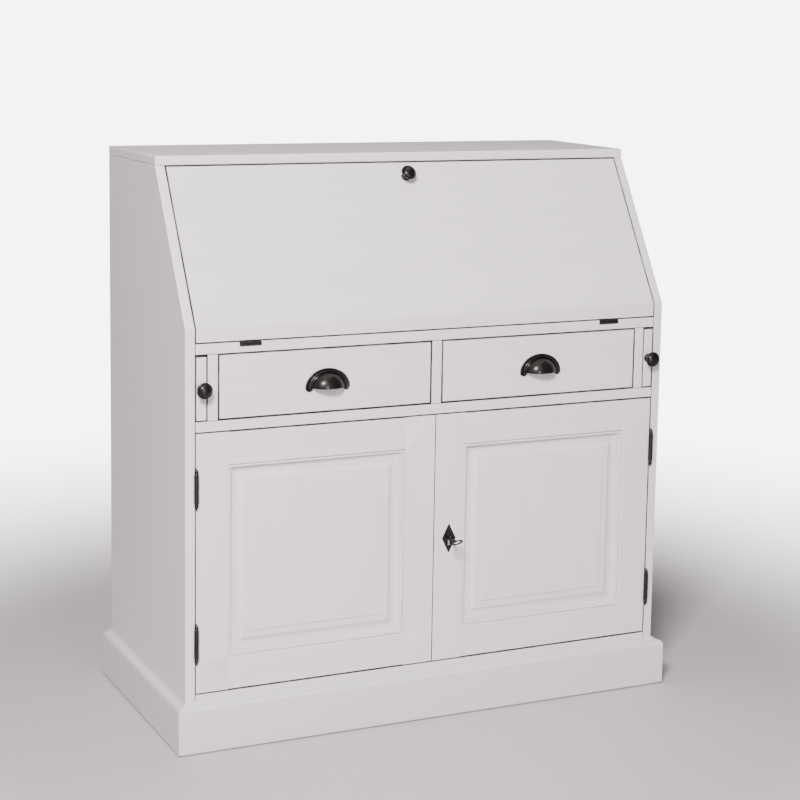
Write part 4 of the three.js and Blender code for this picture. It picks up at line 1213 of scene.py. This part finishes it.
# %% Join hood and plate
def stamp(shape, source, place):
    """Adds a copy of a mesh to a shape, moved by a matrix."""
    before = set(shape.verts)
    shape.from_mesh(source)
    bmesh.ops.transform(
        shape, matrix=place, verts=[vert for vert in shape.verts if vert not in before])


def as_mesh(name, shape):
    mesh = bpy.data.meshes.new(name)
    shape.to_mesh(mesh)
    shape.free()
    return mesh


hood_mesh = as_mesh("hood", hood())
plate_mesh = as_mesh("plate", crescent_plate())
for name in SIDES:
    node = f"cup_pull_{name}"
    low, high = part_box(node)
    mouth = Matrix.Translation(((low.x + high.x) / 2, high.y, high.z - CUP_HEIGHT))
    pull = bmesh.new()
    stamp(pull, hood_mesh, mouth)
    stamp(pull, plate_mesh, mouth)
    finish_piece(node + "_cast", pull, bronze, body_of[node], [node], corner=50, flat=False)
print("a pull has", len(hood_mesh.polygons) + len(plate_mesh.polygons), "faces")

# %% [markdown]
# ## Screws
#
# A slotted screw head is a low dome with a groove across it. One dome is cut by a plane beside
# the middle, its other half is the same piece turned round, and a thin disc closes the slot's
# floor. The mesh is made once and stamped wherever a leaf or a plate is screwed down.

# %% Turn a screw head
SCREW_RADIUS = 3.0 * MM
SCREW_RISE = 0.7 * MM
SLOT_HALF_WIDTH = 0.4 * MM
SCREW_SINK = 0.62 * MM


def screw_head():
    half = bmesh.new()
    turned(half, [(0, -0.6 * MM), (SCREW_RADIUS, -0.6 * MM), (SCREW_RADIUS, 0.1 * MM),
                  (SCREW_RADIUS - 0.3 * MM, 0.3 * MM), (SCREW_RADIUS * 0.6, 0.55 * MM),
                  (0, SCREW_RISE)], steps=28)
    cut_off(half, Vector((SLOT_HALF_WIDTH, 0, 0)), Vector((-1, 0, 0)))
    half_mesh = as_mesh("screw_half", half)
    shape = bmesh.new()
    stamp(shape, half_mesh, Matrix.Identity(4))
    stamp(shape, half_mesh, Matrix.Rotation(math.pi, 4, "Z"))
    turned(shape, [(0, -0.6 * MM), (SCREW_RADIUS * 0.97, -0.6 * MM),
                   (SCREW_RADIUS * 0.97, -0.1 * MM), (0, -0.1 * MM)], steps=28)
    return shape


screw_mesh = as_mesh("screw", screw_head())


def screw(shape, place, direction, turn):
    """A screw head at a place, facing a direction, its slot turned by some degrees."""
    spin = Matrix.Rotation(math.radians(turn), 4, "Z")
    stamp(shape, screw_mesh, facing(direction, place) @ spin)


def slab(shape, low, high, easing, place=Matrix.Identity(4)):
    """Adds a small plate between two corners, with eased edges."""
    made_now = bmesh.ops.create_cube(shape, size=1)["verts"]
    low, high = Vector(low), Vector(high)
    bmesh.ops.scale(shape, verts=made_now, vec=high - low)
    bmesh.ops.translate(shape, verts=made_now, vec=(low + high) / 2)
    edges = list({edge for vert in made_now for edge in vert.link_edges})
    rounded = bmesh.ops.bevel(
        shape, geom=edges, offset=easing, offset_type="OFFSET", segments=2, profile=0.5,
        affect="EDGES", clamp_overlap=True, material=-1)
    verts = {vert for vert in made_now if vert.is_valid}
    verts.update(vert for face in rounded["faces"] for vert in face.verts)
    bmesh.ops.transform(shape, matrix=place, verts=list(verts))


# %% [markdown]
# ## Door hinges
#
# Each door hangs on two lift-off hinges. A hinge is a pair of turned knuckles on one pin, each
# with a leaf that is let into the wood and screwed, and a finial at its free end. The upper
# knuckle belongs to the door and the lower one to the side of the desk.

# %% Turn a knuckle with its finial
KNUCKLE_RADIUS = 4.5 * MM
HINGE_LENGTH = 53 * MM
FINIAL_HEIGHT = 13 * MM
HINGE_GAP = 0.3 * MM
LEAF_THICKNESS = 1.5 * MM
LEAF_DEPTH = 17 * MM
LEAF_SETBACK = 1.2 * MM           # the door's leaf stands this far inside the carcass
PIN_INSET = 0.6 * MM
PLATE_EASE = 0.3 * MM
WEB_EASE = 0.2 * MM


def knuckle_outline(length):
    """From the joint between the halves, up the barrel, over a bead, to the finial's point."""
    radius = KNUCKLE_RADIUS
    start = [(0, 0), (radius - 0.5 * MM, 0), (radius, 0.5 * MM), (radius, length - 2.2 * MM),
             (radius - 0.5 * MM, length - 1.8 * MM)]
    bead = arc((radius - 0.9 * MM, length - 0.6 * MM), (0.9 * MM, 1.1 * MM), -75, 80, 6)
    neck = [(3.1 * MM, length + 1.2 * MM), (2.9 * MM, length + 2.0 * MM)]
    bulb = bezier(neck[-1], (4.6 * MM, length + 3.0 * MM), (4.2 * MM, length + 6.4 * MM),
                  (2.5 * MM, length + 8.6 * MM), 8)
    tip = bezier(bulb[-1], (1.7 * MM, length + 10.0 * MM), (1.3 * MM, length + 11.6 * MM),
                 (0.6 * MM, length + 12.7 * MM), 5)
    return start + bead + neck + bulb + tip + [(0, length + FINIAL_HEIGHT)]


def hinge_half(node, side, half):
    """half is 1 for the door's upper half and -1 for the desk's lower half."""
    low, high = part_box(node)
    if half > 0:
        joint_z = high.z - FINIAL_HEIGHT - HINGE_LENGTH / 2
        outer_face = INNER_X - LEAF_SETBACK
        leaf_x = sorted((side * outer_face, side * (outer_face - LEAF_THICKNESS)))
    else:
        joint_z = low.z + FINIAL_HEIGHT + HINGE_LENGTH / 2
        leaf_x = sorted((side * INNER_X, side * (INNER_X + LEAF_THICKNESS)))
    pin_x = side * (INNER_X - PIN_INSET)
    pin_y = carcass_front - KNUCKLE_RADIUS - HINGE_GAP
    shape = bmesh.new()
    foot = Vector((pin_x, pin_y, joint_z + half * HINGE_GAP))
    turned(shape, knuckle_outline(HINGE_LENGTH / 2 - HINGE_GAP), facing(Vector((0, 0, half)), foot),
           steps=32)
    slab(shape, (leaf_x[0], carcass_front + HINGE_GAP, joint_z - HINGE_LENGTH / 2),
         (leaf_x[1], carcass_front + LEAF_DEPTH, joint_z + HINGE_LENGTH / 2), PLATE_EASE)
    ends = sorted((joint_z + half * HINGE_GAP, joint_z + half * HINGE_LENGTH / 2))
    slab(shape, (leaf_x[0], pin_y, ends[0]),
         (leaf_x[1], carcass_front + HINGE_GAP + 1 * MM, ends[1]), WEB_EASE)
    if half < 0:
        turned(shape, [(0, 0), (1.8 * MM, 0), (1.8 * MM, 19 * MM), (1.2 * MM, 19.8 * MM), (0, 20 * MM)],
               Matrix.Translation((pin_x, pin_y, joint_z - 0.5 * MM)), steps=16)
    outward = Vector((-side if half < 0 else side, 0, 0))
    face_x = leaf_x[0] if outward.x < 0 else leaf_x[1]
    for number, offset in enumerate((-18, 0, 18)):
        place = Vector((face_x, carcass_front + 9.5 * MM, joint_z + offset * MM))
        screw(shape, place - outward * SCREW_SINK, outward, 25 + 70 * number)
    finish_piece(node + "_turned", shape, bronze, body_of[node], [node], corner=35, flat=False)


# %% Hang the doors
for name, side in SIDES.items():
    for level in ("upper", "lower"):
        hinge_half(f"door_{name}_{level}_hinge_moving", side, 1)
        hinge_half(f"door_{name}_{level}_hinge_fixed", side, -1)
print("the doors' pins are at x =", round(INNER_X - PIN_INSET, 4), "on either side")

# %% [markdown]
# ## Flap hinges
#
# The flap turns on two strong hinges at its lower edge. The outer knuckles belong to the desk and
# the middle one to the flap. Their leaves lie on the writing board and on the flap's inner face,
# where they are seen when the desk is open. The flap's leaf leans with the flap, so its plates are
# made upright and turned about the pin.

# %% Measure the flap hinges
FLAP_KNUCKLE = 4.5 * MM
FLAP_MIDDLE_HALF = 7 * MM
FLAP_LEAF_LENGTH = 30 * MM
FLAP_LEAF_THICKNESS = 2 * MM
FLAP_WEB = 3 * MM
FLAP_BOTTOM_GAP = 1.5 * MM
FLAP_NOTCH_SPARE = 2 * MM

flap_thickness = 20 * MM
pin_drop = (flap_thickness - SLOPE_START * math.sin(slope)) / (1 + math.sin(slope))
flap_pin = Vector((0, carcass_front, writing_high.z - pin_drop))
inner_depth = flap_thickness / math.cos(slope) - SLOPE_START * math.tan(slope)
notch_depth = inner_depth + FLAP_NOTCH_SPARE
leaf_start = HINGE_GAP + (FLAP_BOTTOM_GAP + pin_drop * (1 + math.sin(slope))) / math.cos(slope)
print("the flap's pin is", round(pin_drop / MM, 2), "mm below the writing board's top")


# %% Hinge the flap
def barrel(shape, x_from, x_to, radius, easing):
    """A short knuckle along x on the flap's pin, its two rims eased."""
    length = x_to - x_from
    outline = [(0, 0), (radius - easing, 0), (radius, easing), (radius, length - easing),
               (radius - easing, length), (0, length)]
    place = facing(Vector((1, 0, 0)), Vector((x_from, flap_pin.y, flap_pin.z)))
    turned(shape, outline, place, steps=32)


def screw_row(shape, spots, direction, turn):
    for number, spot in enumerate(spots):
        sunk = Vector(spot) - direction * SCREW_SINK
        screw(shape, sunk, direction, turn + 55 * number)


for name in SIDES:
    node = f"flap_hinge_{name}_fixed"
    low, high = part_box(node)
    centre = (low.x + high.x) / 2
    leaf_z = writing_high.z - FLAP_LEAF_THICKNESS
    shape = bmesh.new()
    slab(shape, (low.x, carcass_front + notch_depth, leaf_z),
         (high.x, carcass_front + FLAP_LEAF_LENGTH, writing_high.z), PLATE_EASE)
    for x_from, x_to in ((low.x, centre - FLAP_MIDDLE_HALF - HINGE_GAP),
                         (centre + FLAP_MIDDLE_HALF + HINGE_GAP, high.x)):
        slab(shape, (x_from, carcass_front, leaf_z),
             (x_to, carcass_front + notch_depth + 1 * MM, writing_high.z), WEB_EASE)
        slab(shape, (x_from, carcass_front, flap_pin.z),
             (x_to, carcass_front + FLAP_WEB, writing_high.z - 1 * MM), WEB_EASE)
        barrel(shape, x_from, x_to, FLAP_KNUCKLE, 0.4 * MM)
    barrel(shape, low.x + 1 * MM, high.x - 1 * MM, 1.5 * MM, 0.2 * MM)
    leaf_middle = carcass_front + (notch_depth + FLAP_LEAF_LENGTH) / 2 + 1 * MM
    screw_row(shape, [(centre + x * MM, leaf_middle, writing_high.z) for x in (-13, 13)],
              Vector((0, 0, 1)), 35)
    finish_piece(node + "_leaf", shape, bronze, "carcass", [node], corner=35, flat=False)

    node = f"flap_hinge_{name}_moving"
    lean = Matrix.Translation(flap_pin) @ Matrix.Rotation(-slope, 4, "X")
    back_face = pin_drop
    shape = bmesh.new()
    slab(shape, (low.x, back_face - FLAP_LEAF_THICKNESS, leaf_start),
         (high.x, back_face, FLAP_LEAF_LENGTH), PLATE_EASE, lean)
    slab(shape, (centre - FLAP_MIDDLE_HALF, back_face - FLAP_LEAF_THICKNESS, 0),
         (centre + FLAP_MIDDLE_HALF, back_face, leaf_start + 1 * MM), WEB_EASE, lean)
    slab(shape, (centre - FLAP_MIDDLE_HALF, 0, 0),
         (centre + FLAP_MIDDLE_HALF, back_face, FLAP_WEB), WEB_EASE, lean)
    barrel(shape, centre - FLAP_MIDDLE_HALF, centre + FLAP_MIDDLE_HALF, FLAP_KNUCKLE, 0.4 * MM)
    backward = lean.to_3x3() @ Vector((0, 1, 0))
    spots = [lean @ Vector((centre + x * MM, back_face, (leaf_start + FLAP_LEAF_LENGTH) / 2))
             for x in (-13, 13)]
    screw_row(shape, spots, backward, 60)
    finish_piece(node + "_leaf", shape, bronze, "flap", [node], corner=35, flat=False)

# %% [markdown]
# ## The key
#
# The bow, the ring that the fingers hold, is a round section spun into a ring and squeezed to an
# oval. The shaft with its two collars is turned, and the bit at its end is a plate with slots,
# called wards. The whole key is made level and then tipped about its own axis.

# %% Cut the key
KEY_TILT = math.radians(-15)
BOW_HALF_WIDTH = 12.5 * MM
BOW_HALF_LENGTH = 10 * MM
BOW_BAND = 2.6 * MM
SHAFT_RADIUS = 2.6 * MM

escutcheon_low, escutcheon_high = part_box("escutcheon")
key_axis = (escutcheon_low + escutcheon_high) / 2
key_front, key_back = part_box("key")[0].y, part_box("key")[1].y


def key_shape():
    shape = bmesh.new()
    middle = BOW_HALF_WIDTH - BOW_BAND
    section = [shape.verts.new((x, 0, z))
               for x, z in arc((middle, 0), (BOW_BAND, 1.5 * MM), 0, 360, 14)[:-1]]
    edges = [shape.edges.new(pair) for pair in zip(section, section[1:] + section[:1])]
    bmesh.ops.spin(shape, geom=section + edges, cent=(0, 0, 0), axis=(0, 0, 1),
                   angle=2 * math.pi, steps=40, use_merge=True)
    bmesh.ops.recalc_face_normals(shape, faces=shape.faces)
    oval = (1, (BOW_HALF_LENGTH - BOW_BAND) / middle, 1)
    bmesh.ops.scale(shape, verts=shape.verts, vec=oval)
    bow_back = key_front + 2 * BOW_HALF_LENGTH
    bmesh.ops.translate(shape, verts=shape.verts, vec=(0, key_front + BOW_HALF_LENGTH, 0))

    length = key_back - bow_back
    radius = SHAFT_RADIUS
    outline = [(0, -1.2 * MM), (1.9 * MM, -1.0 * MM), (radius - 0.3 * MM, 0),
               *arc((radius, 3.4 * MM), (1.2 * MM, 1.5 * MM), -80, 80, 6),
               *arc((radius - 0.2 * MM, 6.4 * MM), (0.7 * MM, 0.9 * MM), -80, 80, 5),
               (radius, 7.6 * MM), (radius, length - 0.5 * MM), (radius - 0.5 * MM, length),
               (0, length)]
    turned(shape, outline, facing(Vector((0, 1, 0)), Vector((0, bow_back, 0))), steps=28)
    return shape


key = key_shape()
bit_from, bit_to = key_back - 8 * MM, key_back - 1 * MM
bit = [(1.5, bit_from), (10, bit_from), (10, bit_from + 2.6 * MM), (6.5, bit_from + 2.6 * MM),
       (6.5, bit_from + 3.6 * MM), (10, bit_from + 3.6 * MM), (10, bit_to), (5.2, bit_to),
       (5.2, bit_to - 1.6 * MM), (4.0, bit_to - 1.6 * MM), (4.0, bit_to), (1.5, bit_to)]
bit_shape = bmesh.new()
end = outline_face(bit_shape, [(x * MM, y, -1.2 * MM) for x, y in bit])
extrude_along(bit_shape, end, (0, 0, 2.4 * MM))
stamp(key, as_mesh("bit", bit_shape), Matrix.Identity(4))
tipped = Matrix.Translation((key_axis.x, 0, key_axis.z)) @ Matrix.Rotation(KEY_TILT, 4, "Y")
bmesh.ops.transform(key, matrix=tipped, verts=key.verts)
finish_piece("key_turned", key, bronze, "key", ["key"], corner=35, flat=False)

# %% [markdown]
# ## Escutcheon and lock
#
# The diamond plate guards the keyhole. It is the frame's own plate with softened edges, held by
# two round-headed pins. Behind the door sits the lock's steel case with its bolt, and four screws.

# %% Fix the escutcheon
PIN_HEIGHT = 20.5 * MM
PIN_RADIUS = 1.5 * MM

plate = ease(merged_copy("escutcheon"), 0.45 * MM)
for direction in (-1, 1):
    foot = Vector((key_axis.x, escutcheon_low.y + 0.4 * MM, key_axis.z + direction * PIN_HEIGHT))
    dome = [(0, 0), *arc((0, 0), (PIN_RADIUS, 1.2 * MM), 0, 90, 6)[:-1], (0, 1.2 * MM)]
    turned(plate, dome, facing(Vector((0, -1, 0)), foot), steps=20)
finish_piece("escutcheon_plate", plate, bronze, body_of["escutcheon"], ["escutcheon"], corner=30)

# %% Fix the lock
LOCK_SCREW_INSET = 6 * MM

case_low, case_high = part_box("lock_case")
case = ease(merged_copy("lock_case"), 0.5 * MM)
spots = [(x, case_high.y, z)
         for x in (case_low.x + LOCK_SCREW_INSET, case_high.x - LOCK_SCREW_INSET)
         for z in (case_low.z + LOCK_SCREW_INSET, case_high.z - LOCK_SCREW_INSET)]
screw_row(case, spots, Vector((0, 1, 0)), 15)
finish_piece("lock_case_plate", case, steel, body_of["lock_case"], ["lock_case"], corner=30)
finish_piece("lock_bolt_bar", ease(merged_copy("lock_bolt"), 0.6 * MM), steel, "bolt", ["lock_bolt"])

# %% [markdown]
# ## Felt and pegs
#
# Two things the frame leaves out because they carry no load path of their own: the felt on the
# supports, and the four turned pegs that the shelf rests on.

# %% Lay the felt
FELT_WIDTH = 17 * MM
FELT_LENGTH = 60 * MM
FELT_HEIGHT = 2.4 * MM
FELT_SETBACK = 8 * MM

for name in SIDES:
    low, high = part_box(f"loper_{name}")
    centre = (low.x + high.x) / 2
    pad = bmesh.new()
    slab(pad, (centre - FELT_WIDTH / 2, low.y + FELT_SETBACK, high.z),
         (centre + FELT_WIDTH / 2, low.y + FELT_SETBACK + FELT_LENGTH, high.z + FELT_HEIGHT), 0.8 * MM)
    finish_piece(f"loper_felt_{name}", pad, felt, f"loper_{name}_bar")

# %% Turn the shelf pegs
PEG_RADIUS = 3 * MM
PEG_LENGTH = 10 * MM
PEG_INSET = 40 * MM

shelf_low, shelf_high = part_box("cupboard_shelf")
for name, side in SIDES.items():
    for place, y in (("front", shelf_low.y + PEG_INSET), ("back", shelf_high.y - PEG_INSET)):
        foot = Vector((side * INNER_X, y, shelf_low.z - PEG_RADIUS))
        peg = bmesh.new()
        turned(peg, [(0, 0), (PEG_RADIUS * 1.5, 0), (PEG_RADIUS * 1.5, 1.2 * MM),
                     (PEG_RADIUS, 1.8 * MM), (PEG_RADIUS, PEG_LENGTH - 1 * MM),
                     (PEG_RADIUS - 1 * MM, PEG_LENGTH), (0, PEG_LENGTH)],
               facing(Vector((-side, 0, 0)), foot), steps=24)
        finish_piece(f"shelf_peg_{name}_{place}", peg, bronze, "carcass", flat=False)

# %% [markdown]
# ## Measure and finish
#
# The finished desk must be the size of the frame it stands for. Its box is written down, with the
# number of pieces and their faces.

# %% Measure the finished desk
low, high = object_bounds()
print("desk ", [round(value, 4) for value in high - low])
print(len(made), "pieces,", sum(len(piece.data.polygons) for piece in made), "faces")
